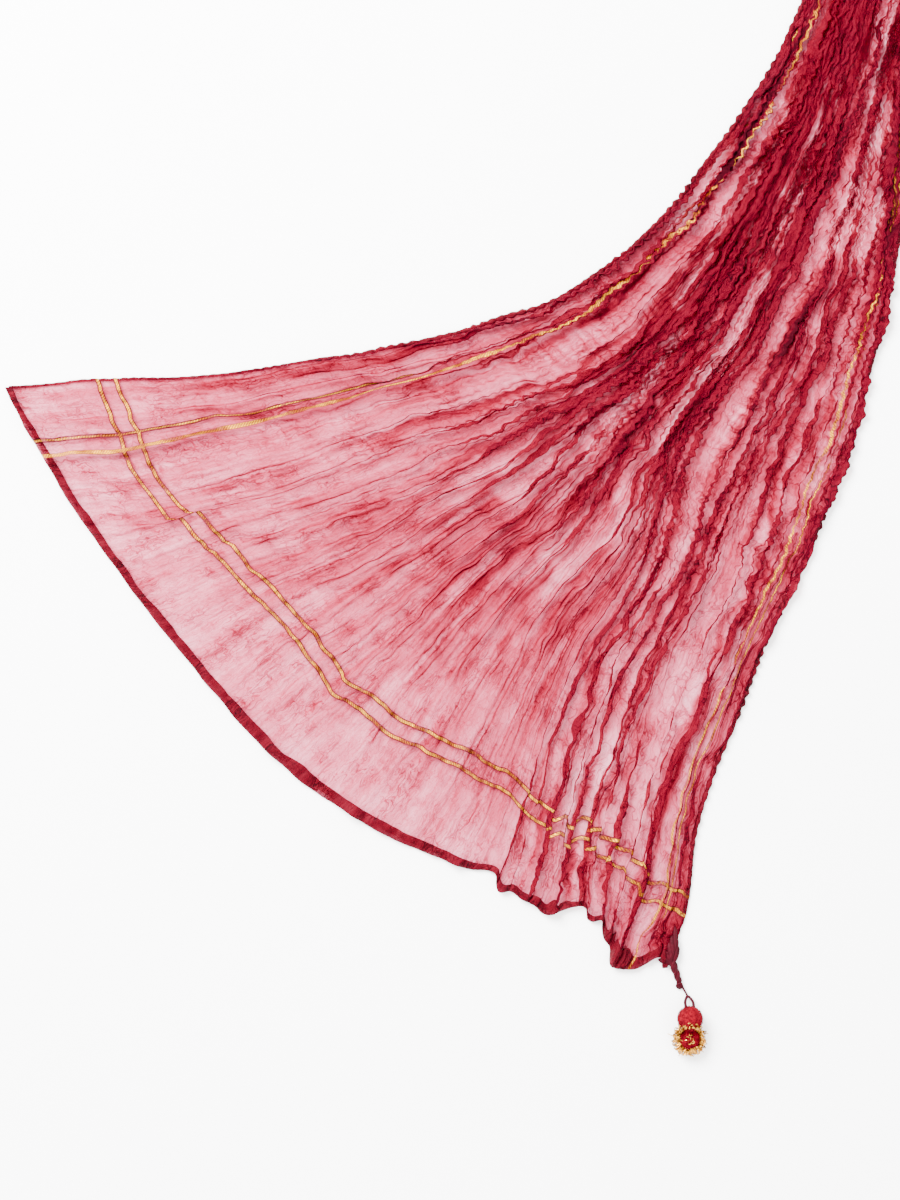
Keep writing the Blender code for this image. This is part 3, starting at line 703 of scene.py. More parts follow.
def cloth_surface(along, cut):
    """The cloth's points at every pairing of a place along and a share of the cut width,
    and how much cloth lies in the way of light at each of them, in flat layers.

    Each row turns up and down: its slope's angle is a sine of the fold count, plus a
    sine of the pleat count, plus small noise.  The cosine is summed for the place
    across and the sine for the height.  The sizes of the turns make the row as wide
    as the plan there; crests lean over, so sheer cloth lies in three layers beside
    stretches that lie open.
    """
    v, u = along[:, None], cut[None, :]
    lengths = row_lengths(along)[:, None]
    goal = share_across(along, cut, lengths)
    lie = np.clip(np.gradient(goal, cut, axis=1) / CLOTH_WIDTH, LEAST_LIE, 0.975)
    gathered = gathering(v, u)
    folds, pleats = counted(cut, FOLDS, 0.55, 11), counted(cut, PLEATS, 0.5, 12)
    opened, pressed = opened_and_pressed(v, u)
    crush, big, small = taken_up(lie, gathered, opened, folds, pleats, v, u)

    angle = turn_for(big) * np.sin(2 * np.pi * folds)
    angle = angle + turn_for(small) * np.sin(2 * np.pi * (pleats + rippled(u, v, *PLEAT_PATHS)))
    angle = angle + rippled(u, v, *CRUSH_TURNS) * (0.60 + 0.40 * gathered)
    step = CLOTH_WIDTH * np.diff(cut) * (crush[:, 1:] + crush[:, :-1]) / 2
    across, height = turned_rows(angle, step, folds, goal)
    bead = np.sin(2 * np.pi * (v / BEAD + rippled(u, v, BEAD_STARTS))) * (0.6 + rippled(u, v, BEAD_SIZES))
    across, tall = leaned_over(across, height, opened, gathered, bead, folds, v)
    across, tall = crinkled(across, tall, gathered, bead, v, u)

    share = across / lengths
    x, y = plan(along, share)
    slip = slipped(cut, v, u)
    ahead = smooth_curve(along, [s.along for s in SECTIONS], [s.heading for s in SECTIONS])
    ahead = np.radians(ahead)[:, None]
    points = np.stack([x + slip * np.cos(ahead), y + slip * np.sin(ahead), tall + 0.0006], axis=-1)
    depth = slant_of(points) / crush * (1 + pressed)
    least = np.minimum(1 / layers_at(share), depth)
    return points, np.maximum(depth * parting(share, v, 0.0016 * bead / lengths), least)


def slant_of(points):
    """One over the upward part of each point's normal, from 1 where the cloth lies flat."""
    normal = np.cross(np.gradient(points, axis=1), np.gradient(points, axis=0))
    length = np.linalg.norm(normal, axis=-1)
    return np.clip(length / np.maximum(np.abs(normal[..., 2]), 1e-9), 1, 4)


def grid_faces(rows, columns):
    """Quads of a grid of points, facing up where rows run to +Y and columns to +X."""
    a = np.arange(rows - 1)[:, None] * columns + np.arange(columns - 1)[None, :]
    return np.stack([a, a + 1, a + columns + 1, a + columns], axis=-1).reshape(-1, 4)


def ring_faces(count, rings, sides):
    """Faces of closed tubes: quads between neighbour rings, and one cap on each end."""
    first = np.arange(count)[:, None, None] * rings * sides
    i = np.arange(rings - 1)[None, :, None] * sides
    j = np.arange(sides)[None, None, :]
    k = (j + 1) % sides
    walls = np.stack([first + i + j, first + i + k, first + i + sides + k, first + i + sides + j], axis=-1)
    caps = first[:, :, 0] + np.arange(sides)[None, :]
    return [*walls.reshape(-1, 4).tolist(), *caps[:, ::-1].tolist(),
            *(caps + (rings - 1) * sides).tolist()]


def tubes(paths, wide, high, sides, turn=0.0):
    """Closed tubes along paths: at each point a ring of wide * cos along the side
    direction, which is level, plus high * sin along the one square to it and the path.

    paths holds count by steps points; wide, high and turn are values for each of them.
    """
    paths = np.asarray(paths, float)
    ahead = np.gradient(paths, axis=1)
    ahead /= np.linalg.norm(ahead, axis=-1, keepdims=True) + 1e-12
    side = np.cross([0.02, 0.01, 1.0], ahead)
    side /= np.linalg.norm(side, axis=-1, keepdims=True) + 1e-12
    upward = np.cross(ahead, side)
    shape = paths.shape[:2] + (1,)
    wide, high, turn = (np.broadcast_to(np.asarray(a, float), paths.shape[:2]).reshape(shape)
                        for a in (wide, high, turn))
    t = np.linspace(0, 2 * np.pi, sides, endpoint=False)
    right = wide * np.cos(t)
    rise = high * np.sin(t)
    along_side = right * np.cos(turn) - rise * np.sin(turn)
    along_up = right * np.sin(turn) + rise * np.cos(turn)
    rings = paths[:, :, None] + along_side[..., None] * side[:, :, None]
    rings = rings + along_up[..., None] * upward[:, :, None]
    count, steps = paths.shape[:2]
    return rings.reshape(-1, 3), ring_faces(count, steps, sides)


def joined(pieces):
    """One list of points and of faces from several pairs."""
    points = np.concatenate([p for p, _ in pieces])
    faces, start = [], 0
    for found, own in pieces:
        faces += [[start + k for k in face] for face in own]
        start += len(found)
    return points, faces


def add_mesh(name, points, faces, found, smooth=True):
    """One mesh object at the origin from points and faces, with its material."""
    mesh = bpy.data.meshes.new(name)
    mesh.from_pydata(np.asarray(points).reshape(-1, 3).tolist(), [],
                     faces if isinstance(faces, list) else faces.tolist())
    mesh.update()
    mesh.polygons.foreach_set("use_smooth", np.full(len(mesh.polygons), smooth))
    made = bpy.data.objects.new(name, mesh)
    mesh.materials.append(found)
    bpy.context.scene.collection.objects.link(made)
    return made


def add_joined(name, parts, found, smooth=True):
    """One mesh object from several pairs of points and faces, none of it in the floor."""
    points, faces = joined(parts)
    points[:, 2] = np.maximum(points[:, 2], LOWEST)
    return add_mesh(name, points, faces, found, smooth)


def set_depth(mesh, values):
    """How much cloth a ray straight down passes at each point, in single flat layers."""
    layer = mesh.attributes.new("depth", "FLOAT", "POINT")
    layer.data.foreach_set("value", np.asarray(values, np.float32).reshape(-1))


def placed(piece, slot, *nodes):
    """Puts a new piece on the body, and hides the nodes that it stands for."""
    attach(piece, "root")
    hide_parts(*nodes)
    return piece


def set_uv(mesh, u, v):
    """Gives the mesh a UV map in metres of cut cloth, from one pair of values a point."""
    layer = mesh.uv_layers.new(name="UVMap")
    corner = np.empty(len(mesh.loops), np.int32)
    mesh.loops.foreach_get("vertex_index", corner)
    pair = np.stack([u.reshape(-1)[corner], v.reshape(-1)[corner]], axis=1)
    layer.data.foreach_set("uv", pair.reshape(-1).astype(np.float32))


def linear(hex_colour):
    """The linear colour of an sRGB hex value, with full alpha."""
    parts = [int(hex_colour[k:k + 2], 16) / 255 for k in (0, 2, 4)]
    return [c / 12.92 if c <= 0.04045 else ((c + 0.055) / 1.055) ** 2.4 for c in parts] + [1.0]


def colour(name, description, hex_colour):
    """A colour that a user may change, with its sRGB hex value as the default."""
    return FloatVectorProperty(name=name, description=description, subtype="COLOR", size=4,
                               min=0.0, max=1.0, default=linear(hex_colour))


def length(name, description, metres):
    """A length that a user may change."""
    return FloatProperty(name=name, description=description, unit="LENGTH", precision=4,
                         min=0.0, default=metres)


class DupattaSizes(bpy.types.PropertyGroup):
    """Sizes and shares that a user would change."""
    cover: FloatProperty(name="Cover", description="Share of one layer that the threads cover",
                         subtype="FACTOR", default=0.26, min=0.05, max=1.0)
    line_half: length("Gold line", "Half width of a woven gold line", LINE_HALF)
    fibre: length("Wool fibre", "Length of the ball's wool fibres", 0.0017)
    tinsel_reach: length("Tinsel reach", "How far the longest tinsel reaches from its middle", 0.0165)
    columns: IntProperty(name="Columns", description="Points across the cloth", default=COLUMNS, min=40)


class DupattaColours(bpy.types.PropertyGroup):
    """Colours that a user would change."""
    silk: colour("Silk", "Silk threads where the cloth lies flat", "780A24")
    # Painted shade: the silk's colour in its creases and where it stands steep or lies stacked
    shaded_crease: colour("Crease", "Silk threads in a crease", "2A0510")
    hem: colour("Hem", "Silk folded into a hem", "4A0512")
    # Painted shade in the hems' creases
    hem_shaded_crease: colour("Hem crease", "Creases of the hems", "1A0307")
    # Painted highlight: the woven gold's lit colour
    gold: colour("Gold", "Woven gold where it faces the light", "B4841E")
    tail: colour("Tail", "The twisted corner's raised threads", "3C0410")
    thread: colour("Thread", "Raised fibres of the spun thread", "3A0610")
    # Beside this colour the wool has a darker red, painted shade between fibres
    wool: colour("Wool", "The wool's outer fibres", "6C0012")
    tinsel: colour("Tinsel", "Tinsel that faces the light", "D09A38")
    floor: colour("Floor", "The floor under the cloth", "FFFFFF")


def node(tree, kind, settings=(), **links):
    """Adds a node, sets its properties, and sets or links its sockets.

    A socket is called by its name, with _ for a space, or by i and its number.
    """
    made = tree.nodes.new(kind)
    for key, value in dict(settings).items():
        setattr(made, key, value)
    for key, value in links.items():
        numbered = key[0] == "i" and key[1:].isdigit()
        socket = made.inputs[int(key[1:]) if numbered else key.replace("_", " ")]
        if isinstance(value, bpy.types.NodeSocket):
            tree.links.new(value, socket)
        else:
            socket.default_value = value
    return made


def new_material(name):
    """A material, and its node tree with nothing in it."""
    made = bpy.data.materials.new(name)
    made.use_nodes = True
    made.node_tree.nodes.clear()
    return made, made.node_tree


def near(tree, value, middle, flat, soft):
    """1 where a value is within flat of its middle, falling evenly to 0 over soft more."""
    apart = node(tree, MATHS, MINUS, i0=value, i1=middle).outputs[0]
    apart = node(tree, MATHS, {"operation": "ABSOLUTE"}, i0=apart).outputs[0]
    return node(tree, MATHS, {**TIMES_PLUS, "use_clamp": True}, i0=apart, i1=-1 / soft,
                i2=1 + flat / soft).outputs[0]


def strongest(tree, *masks):
    """The largest of several masks at each place."""
    found = masks[0]
    for mask in masks[1:]:
        found = node(tree, MATHS, {"operation": "MAXIMUM"}, i0=found, i1=mask).outputs[0]
    return found


def summed(tree, start, *weighed):
    """The start plus each pattern times its weight."""
    for pattern, weight in weighed:
        start = node(tree, MATHS, TIMES_PLUS, i0=pattern, i1=weight, i2=start).outputs[0]
    return start


def lines_at(tree, place, middles, half):
    """1 on any of several lines along a coordinate."""
    return strongest(tree, *(near(tree, place, middle, half, LINE_SOFT) for middle in middles))


def through(tree, depth, absorbed):
    """The colour of light that has passed cloth of a depth: e to minus depth times each share."""
    parts = []
    for share in absorbed:
        lost = node(tree, MATHS, TIMES, i0=depth, i1=-share).outputs[0]
        parts.append(node(tree, MATHS, {"operation": "EXPONENT"}, i0=lost).outputs[0])
    return node(tree, "ShaderNodeCombineColor", Red=parts[0], Green=parts[1], Blue=parts[2]).outputs[0]


def laid_on(tree, uv, pattern, bent=None):
    """The place on the flat cut, in cells of the pattern's size, bent as far as it says."""
    cells = (1000 / pattern.across_mm, 1000 / pattern.along_mm, 1)
    place = node(tree, "ShaderNodeMapping", Vector=uv, Scale=cells,
                 Location=(pattern.start, pattern.start * 0.7, 0)).outputs[0]
    if not pattern.bend:
        return place
    push = node(tree, "ShaderNodeVectorMath", {"operation": "SCALE"}, i0=bent, Scale=pattern.bend)
    return node(tree, "ShaderNodeVectorMath", PLUS, i0=place, i1=push.outputs[0]).outputs[0]


def mottle(tree, uv, bent, pattern):
    """Soft noise on the flat cut, from 0 to 1."""
    return node(tree, NOISE, FLAT_NOISE, Scale=1.0, Detail=pattern.detail, Roughness=pattern.rough,
                Vector=laid_on(tree, uv, pattern, bent)).outputs[0]


def net(tree, uv, bent, pattern, wide):
    """1 along the edges of a net of cells, falling to 0 over a share of a cell."""
    cells = node(tree, "ShaderNodeTexVoronoi", FLAT_CELLS, Scale=1.0, Vector=laid_on(tree, uv, pattern, bent))
    return near(tree, cells.outputs[0], 0.0, 0.0, wide)


def crinkled_silk(name, flat, painted_crease_shade, cover, layers=1.0):
    """Sheer plain-weave silk, crushed while wet: light comes through it crimson, and
    darker where it stands on edge or lies doubled, where painted shade also darkens the
    threads; thin dark creases wander over it, with more cloth and painted shade in them;
    and gold-wrapped threads are woven in as paired lines, with painted highlights and
    shade on them and a painted shadow beside them.

    The real threads lie a tenth of a millimetre apart, too fine to show, so their
    share of cover stands for them, and the gold's twist is drawn 2.6 mm long.
    """
    sizes, colours = bpy.context.scene.dupatta_sizes, bpy.context.scene.dupatta_colours
    made, tree = new_material(name)
    uv = node(tree, "ShaderNodeUVMap", {"uv_map": "UVMap"}).outputs[0]
    place = node(tree, "ShaderNodeSeparateXYZ", Vector=uv)
    cut, along = place.outputs[0], place.outputs[1]
    lying = node(tree, "ShaderNodeAttribute", {"attribute_name": "depth"}).outputs["Fac"]
    bent = node(tree, NOISE, FLAT_NOISE, Scale=1.0, Detail=SLOW_BEND.detail,
                Vector=laid_on(tree, uv, SLOW_BEND)).outputs["Color"]

    # Creases: long ones, a net of them in patches, and cracks that the ruffles have more of
    patchy = node(tree, RANGE, Value=mottle(tree, uv, bent, PATCHES), From_Min=0.42, From_Max=0.66).outputs[0]
    long_creases = mottle(tree, uv, bent, LONG_CREASES)
    veins = summed(tree, 0.0, (near(tree, long_creases, 0.5, 0.0, 1 / 17), 0.7),
                   (net(tree, uv, bent, CREASE_NET, 1 / 14), 0.8))
    veins = node(tree, MATHS, {**TIMES, "use_clamp": True}, i0=veins,
                 i1=summed(tree, 0.32, (patchy, 0.65))).outputs[0]
    ruffled = node(tree, RANGE, Value=cut, From_Min=0.66, From_Max=0.76, To_Min=0.25).outputs[0]
    crack = node(tree, MATHS, TIMES, i0=net(tree, uv, bent, CRACKS, 1 / 26), i1=ruffled).outputs[0]
    # Creases that get painted shade in the threads' colour, and that hide the gold
    shaded_creases = strongest(tree, veins, crack)
    hair = node(tree, MATHS, TIMES, i0=near(tree, mottle(tree, uv, bent, HAIRS), 0.5, 0.0, 1 / 30),
                i1=summed(tree, 0.35, (patchy, 1.0))).outputs[0]

    # Beads and streaks of the gathered cloth
    bunched = node(tree, RANGE, Value=along, From_Min=0.30, From_Max=0.46).outputs[0]
    turns = summed(tree, 0.0, (along, 2 * np.pi / BEAD), (mottle(tree, uv, bent, BEAD_SWAY), 14.0))
    bead = node(tree, MATHS, {"operation": "SINE"}, i0=turns).outputs[0]
    bead = node(tree, MATHS, TIMES, i0=summed(tree, 0.5, (bead, 0.5)), i1=bunched).outputs[0]
    groove = node(tree, RANGE, Value=bead, From_Min=0.90, From_Max=1.0, To_Max=0.7).outputs[0]
    streak = node(tree, RANGE, Value=mottle(tree, uv, bent, STREAKS), From_Min=0.40, From_Max=0.64).outputs[0]
    broad = node(tree, RANGE, Value=mottle(tree, uv, bent, BROAD_SHADES), From_Min=0.38,
                 From_Max=0.68).outputs[0]

    # Gold lines and the painted shadows beside them, which thick cloth and creases hide
    half = sizes.line_half
    gold = strongest(tree, *(near(tree, cut, middle, share * half, LINE_SOFT)
                             for middle, share in zip(SIDE_LINES, SIDE_LINES_SHOW)),
                     lines_at(tree, along, END_LINES, half))
    painted_line_shadow = strongest(tree, lines_at(tree, cut, SIDE_LINES[:2], half + LINE_SHADOW),
                      lines_at(tree, along, END_LINES, half + LINE_SHADOW),
                      lines_at(tree, cut, SIDE_LINES[2:], 0.8 * half))
    clear = node(tree, RANGE, Value=lying, From_Min=3.0, From_Max=6.0, To_Min=1.0, To_Max=0.0).outputs[0]
    clear = node(tree, MATHS, TIMES, i0=clear, i1=summed(tree, 1.0, (shaded_creases, -0.8))).outputs[0]
    gold = node(tree, MATHS, TIMES, i0=gold, i1=clear).outputs[0]
    painted_line_shadow = node(tree, MATHS, TIMES, i0=painted_line_shadow, i1=clear).outputs[0]
    twist = node(tree, MATHS, PLUS, i0=cut, i1=along).outputs[0]
    twist = node(tree, MATHS, TIMES, i0=twist, i1=2 * np.pi / GOLD_TWIST).outputs[0]
    twist = summed(tree, 0.5, (node(tree, MATHS, {"operation": "SINE"}, i0=twist).outputs[0], 0.5))

    # Colours of the threads: painted shade turns them to the crease colour in creases and where the cloth
    # stands steep or lies stacked
    steep_shade = node(tree, RANGE, Value=lying, From_Min=2.6, From_Max=6.0, To_Max=0.8).outputs[0]
    silk = node(tree, MIX, OF_COLOURS, i0=strongest(tree, shaded_creases, steep_shade), i6=flat, i7=painted_crease_shade).outputs[2]
    # Painted highlights and shade on the gold: noise patches mix a shaded gold with a lit one, and each has
    # light and dark turns along its twist
    painted_glint = node(tree, RANGE, Value=mottle(tree, uv, bent, PAINTED_GLINTS), From_Min=0.40, From_Max=0.60).outputs[0]
    shaded_gold = node(tree, MIX, OF_COLOURS, i0=twist, i6=linear("3A1402"), i7=linear("7A3E04")).outputs[2]
    bright = node(tree, MIX, OF_COLOURS, i0=twist, i6=linear("8A4A04"), i7=colours.gold).outputs[2]
    lit_and_shaded_gold = node(tree, MIX, OF_COLOURS, i0=painted_glint, i6=shaded_gold, i7=bright).outputs[2]
    # Painted shadow: dark red beside the gold lines
    threads = node(tree, MIX, OF_COLOURS, i0=painted_line_shadow, i6=silk, i7=linear("30060A")).outputs[2]
    threads = node(tree, MIX, OF_COLOURS, i0=gold, i6=threads, i7=lit_and_shaded_gold).outputs[2]

    # Light that comes through, by how much cloth is in its way
    streaked = node(tree, MATHS, TIMES, i0=streak, i1=0.30).outputs[0]
    depth = summed(tree, 0.58, (veins, 0.95), (crack, 0.9), (net(tree, uv, bent, FINE_NET, 1 / 8), 0.22),
                   (streaked, summed(tree, 0.8, (bunched, 0.9))), (broad, 0.28), (bead, 0.18),
                   (groove, patchy))
    depth = node(tree, MATHS, TIMES, i0=depth, i1=lying).outputs[0]
    depth = summed(tree, 0.0, (depth, layers), (hair, 0.9 * layers))
    filtered = node(tree, "ShaderNodeBsdfTransparent", Color=through(tree, depth, ABSORBED))

    relief = summed(tree, 0.0, (veins, 0.7), (long_creases, 0.8), (bead, 0.9),
                    (twist, node(tree, MATHS, TIMES, i0=gold, i1=0.5).outputs[0]))
    bump = node(tree, "ShaderNodeBump", Strength=0.8, Distance=0.0012, Height=relief).outputs[0]
    shader = node(tree, "ShaderNodeBsdfPrincipled", Base_Color=threads, Normal=bump,
                  Metallic=node(tree, MATHS, TIMES, i0=gold, i1=0.3).outputs[0],
                  Roughness=summed(tree, 0.5, (gold, -0.15)), Specular_IOR_Level=0.06,
                  Specular_Tint=(1.0, 0.3, 0.35, 1.0))
    thinned = node(tree, RANGE, Value=lying, From_Min=0.2, From_Max=1.2, To_Min=0.2).outputs[0]
    # The painted shadow beside the gold lines also lets no light through
    covered = summed(tree, 0.0, (painted_line_shadow, 1 - cover), (thinned, cover))
    seen = node(tree, "ShaderNodeMixShader", i0=covered, i1=filtered.outputs[0], i2=shader.outputs[0])
    node(tree, "ShaderNodeOutputMaterial", Surface=seen.outputs[0])
    return made


def fibres(name, dark, pale, grain_mm, patch_mm, patches, spread, relief, relief_mm, detail=3.0, **finish):
    """Wound, spun or teased fibres: noise at their size, and at the size of patches.

    The two noises are added up by the share of patches, the spread between two values
    of the sum runs from the dark colour to the pale, and the first is also the relief.
    """
    made, tree = new_material(name)
    place = node(tree, "ShaderNodeTexCoord").outputs["Object"]
    grain = node(tree, NOISE, Scale=1000 / grain_mm, Detail=detail, Vector=place).outputs[0]
    patch = node(tree, NOISE, Scale=1000 / patch_mm, Detail=2.0, Vector=place).outputs[0]
    both = summed(tree, 0.0, (grain, 1 - patches), (patch, patches))
    share = node(tree, RANGE, Value=both, From_Min=spread[0], From_Max=spread[1]).outputs[0]
    mixed = node(tree, MIX, OF_COLOURS, i0=share, i6=dark, i7=pale).outputs[2]
    bump = node(tree, "ShaderNodeBump", Strength=relief, Distance=relief_mm / 1000, Height=grain).outputs[0]
    shader = node(tree, "ShaderNodeBsdfPrincipled", Base_Color=mixed, Normal=bump, **finish)
    node(tree, "ShaderNodeOutputMaterial", Surface=shader.outputs[0])
    return made


def wound_silk(colours):
    """Silk twisted hard into a cord, so that it lets no light through: dark crimson,
    with the fine ridges of its threads running round it."""
    return fibres("twisted_silk", linear("120104"), colours.tail, 1.1, 5.0, 1.0, (0.0, 1.0), 0.7, 0.5,
                  Roughness=0.55, Specular_IOR_Level=0.04)


def dull_thread(colours):
    """Spun polyester sewing thread: nearly black red, with the light ticks of its twist."""
    return fibres("spun_thread", linear("100206"), colours.thread, 0.7, 5.0, 0.0, (0.0, 1.0), 0.6, 0.15,
                  Roughness=0.6, Specular_IOR_Level=0.05)


def red_wool(colours):
    """Wool yarn cut and teased into a ball: bright soft red, with a darker red mixed in by noise as painted
    shade down between fibres.
    """
    return fibres("teased_wool", linear("3A0006"), colours.wool, 0.9, 3.5, 0.5, (0.36, 0.62), 0.5, 0.4,
                  Roughness=0.9, Specular_IOR_Level=0.05)


def tinsel_foil(colours):
    """Crimped metallic film on thread: cream gold where it faces the light, brown where not."""
    return fibres("gold_tinsel", linear("6E3E06"), colours.tinsel, 1.6, 5.0, 0.0, (0.35, 0.65), 0.5, 0.4,
                  detail=2.0, Metallic=0.85, Roughness=0.32)


class DUPATTA_OT_cloth(bpy.types.Operator):
    """Lays the crinkled silk in strips from the fanned end to the far end"""
    bl_idname = "dupatta.cloth"
    bl_label = "Crinkled silk"

    def execute(self, context):
        sizes, colours = context.scene.dupatta_sizes, context.scene.dupatta_colours
        silk = crinkled_silk("crinkled_silk_habotai", colours.silk, colours.shaded_crease, sizes.cover)
        cut = np.linspace(0.0, 1.0, sizes.columns)
        for strip in STRIPS:
            along = np.linspace(strip.start, strip.end, strip.rows)
            points, depth = (found[:, ::strip.skip] for found in cloth_surface(along, cut))
            piece = add_mesh(strip.name, points, grid_faces(*points.shape[:2]), silk)
            u = np.broadcast_to(cut[::strip.skip] * CLOTH_WIDTH, points.shape[:2])
            set_uv(piece.data, u, np.broadcast_to(along[:, None], points.shape[:2]))
            set_depth(piece.data, depth)
            placed(piece, "silk", "cloth_panel")
        return {"FINISHED"}


def folded_hem(name, stands_for, start, inward, silk):
    """A hem pressed flat: a ring of points around each column of the cloth.

    Its place along the cloth is half its depth times one plus the cosine, and its
    height the cloth's plus its half thickness times the sine, so it wraps the end.
    inward is 1 where the cloth runs on from start and -1 where it comes up to it.
    """
    sides = 14
    cut = np.linspace(0.0, 1.0, COLUMNS)
    row = np.full_like(cut, 0.5)
    offsets = np.linspace(-0.004, 0.022, 14)
    order = np.argsort(inward * offsets)
    rows, _ = cloth_surface((start + inward * offsets)[order], cut)
    rows = rows[np.argsort(order)]
    t = np.linspace(0, 2 * np.pi, sides, endpoint=False)[:, None]
    uneven = soft_noise(cut * 34, row, 91) + 0.5 * soft_noise(cut * 90, row, 92)
    depth = END_HEM_DEPTH * (1.05 + 0.22 * uneven) * (0.75 + 0.25 * soft_step(cut, 0.0, 0.12))
    if inward > 0:
        stands = smooth_curve(cut, *zip(*HEM_WAVES))
        depth = depth * np.clip(np.hypot(1, np.gradient(stands, cut) / SECTIONS[0].width), 1, 1.7)
    edge = 0.0011 * soft_noise(cut * 44, row, 93)
    place = edge + (depth - edge) * (1 + np.cos(t)) / 2
    step = np.clip((place - offsets[0]) / (offsets[1] - offsets[0]), 0, len(offsets) - 1.001)
    low = step.astype(int)
    part = (step - low)[..., None]
    column = np.arange(COLUMNS)[None, :]
    points = rows[low, column] * (1 - part) + rows[low + 1, column] * part
    thick = 0.0008 * (1 + 0.4 * soft_noise(cut * 60, row, 94))
    points[..., 2] = np.maximum(points[..., 2] + 0.0004 + thick * np.sin(t), LOWEST)
    points = points.transpose(1, 0, 2)[:, ::-inward]
    piece = add_mesh(name, points.reshape(-1, 3), ring_faces(1, COLUMNS, sides), silk)
    u = np.broadcast_to(cut[:, None] * CLOTH_WIDTH, points.shape[:2])
    run = place.T[:, ::-inward]
    set_uv(piece.data, u, start + inward * run)
    set_depth(piece.data, 1.0 + 0.5 * soft_noise(u * 40, run * 0 + 0.5, 95))
    placed(piece, "hem", stands_for)


def rolled_edge(name, stands_for, side, start_beads, silk):
    """A narrow rolled hem: rings around the cloth's edge, swelling bead by bead.

    The radius is a sine of the place along, with slow noise on its phase and height.
    """
    sides = 10
    along = np.linspace(0.004, CLOTH_LENGTH - 0.004, 960)
    surface, _ = cloth_surface(along, np.linspace(0.0, 1.0, COLUMNS // 2))
    path = surface[:, 0 if side < 0 else -1].copy()
    lumps = soft_noise(along / 0.03, along * 0 + side + 1.5, 96)
    phase = 2 * np.pi * (along / ROLLED_BEAD + 0.7 * soft_noise(along / 0.05, along * 0 + 0.5, 97))
    grown = soft_step(along, start_beads, start_beads + 0.22)
    swell = 1 + (0.1 + 0.22 * grown) * np.sin(phase) + 0.20 * lumps
    radius = (0.0012 + 0.0011 * grown) * swell
    path[:, 2] = radius * 0.8 + 0.0005 + 0.0006 * grown * (1 + lumps)
    points, faces = tubes(path[None], radius[None], radius[None] * 0.8, sides)
    piece = add_mesh(name, points, faces, silk)
    u = 0.0 if side < 0 else CLOTH_WIDTH
    t = np.cos(np.linspace(0, 2 * np.pi, sides, endpoint=False))[None, :] * radius[:, None]
    set_uv(piece.data, u + t, np.broadcast_to(along[:, None], t.shape))
    set_depth(piece.data, np.full(t.shape, 1.3) + 0.5 * np.cos(phase)[:, None])
    placed(piece, "hem", stands_for)


class DUPATTA_OT_hems(bpy.types.Operator):
    """Folds the two end hems and rolls the two side hems"""
    bl_idname = "dupatta.hems"
    bl_label = "Hems"

    def execute(self, context):
        # The same silk folded twice and pressed: darker, and little light comes through it.
        # Its crease colour is painted shade in the hems' creases.
        colours = context.scene.dupatta_colours
        silk = crinkled_silk("folded_silk_hem", colours.hem, colours.hem_shaded_crease, cover=0.72, layers=2.0)
        folded_hem("hem_folded_near", "hem_near_end", 0.0, 1, silk)
        folded_hem("hem_folded_far", "hem_far_end", CLOTH_LENGTH, -1, silk)
        rolled_edge("hem_rolled_left", "hem_left_side", -1, 0.22, silk)
        rolled_edge("hem_rolled_right", "hem_right_side", 1, 0.02, silk)
        return {"FINISHED"}


def at(place, up=0.0):
    """A point of the frame from a place measured from the left tip."""
    return np.array([place[0] + SHIFT[0], place[1] + SHIFT[1], up])


def smooth_path(knots, count):
    """A smooth curve of count points through given knots."""
    knots = np.asarray(knots, float)
    run = np.concatenate([[0], np.cumsum(np.linalg.norm(np.diff(knots, axis=0), axis=1))])
    where = np.linspace(0, run[-1], count)
    return np.stack([smooth_curve(where, run, knots[:, k]) for k in range(3)], axis=1)


# Where the corner's cloth starts towards its tail, beside the corner, and how high
TAIL_STARTS = ((-0.0125, 0.0025, 0.003), (-0.0095, 0.0065, 0.005), (-0.0065, 0.0120, 0.005),
               (-0.0030, 0.0180, 0.006), (-0.0005, 0.0250, 0.006), (0.0022, 0.0330, 0.005),
               (0.0040, 0.0230, 0.005), (0.0052, 0.0150, 0.004))


def twisted_core(corner, knot):
    """The tail's middle: an oval tube that narrows and turns, and three strands wound on it."""
    s = np.linspace(0, 1, 48)
    path = smooth_path([corner + (-0.003, 0.010, 0.001), corner,
                        corner * 0.45 + knot * 0.55 + (0.0006, 0, 0), knot + (-0.0004, 0.003, 0)], 48)
    radius = 0.0036 - 0.0014 * s ** 0.8
    parts = [tubes(path[None], radius * 1.15, radius * 0.8, 10, (9 * s)[None])]
    for k in range(3):
        swing = 2 * np.pi * (k / 3 + 1.4 * s)
        off = np.stack([np.cos(swing), 0.3 * np.cos(swing), 0.8 * np.sin(swing)], axis=1)
        strand = path + off * (radius * 0.8)[:, None]
        parts.append(tubes(strand[None], radius * 0.55, radius * 0.5, 8))
    return parts


def drawn_strands(corner, knot):
    """Strands of gathered cloth from the corner's edge into the tail: flat, thickest midway."""
    steps = np.linspace(0, 1, 26)
    half = np.interp(steps, [0, 0.1, 0.45, 0.7, 1], [0.0005, 0.0021, 0.0026, 0.0017, 0.0010])
    parts = []
    for x, y, up in TAIL_STARTS:
        knots = [corner + (x, y, up - 0.0035), corner + (x * 0.75, y * 0.5, up * 0.5),
                 corner + (x * 0.18, -0.001, 0.001), corner * 0.5 + knot * 0.5]
        parts.append(tubes(smooth_path(knots, 26)[None], half, half * 0.5, 8, (1.4 * steps)[None]))
    return parts


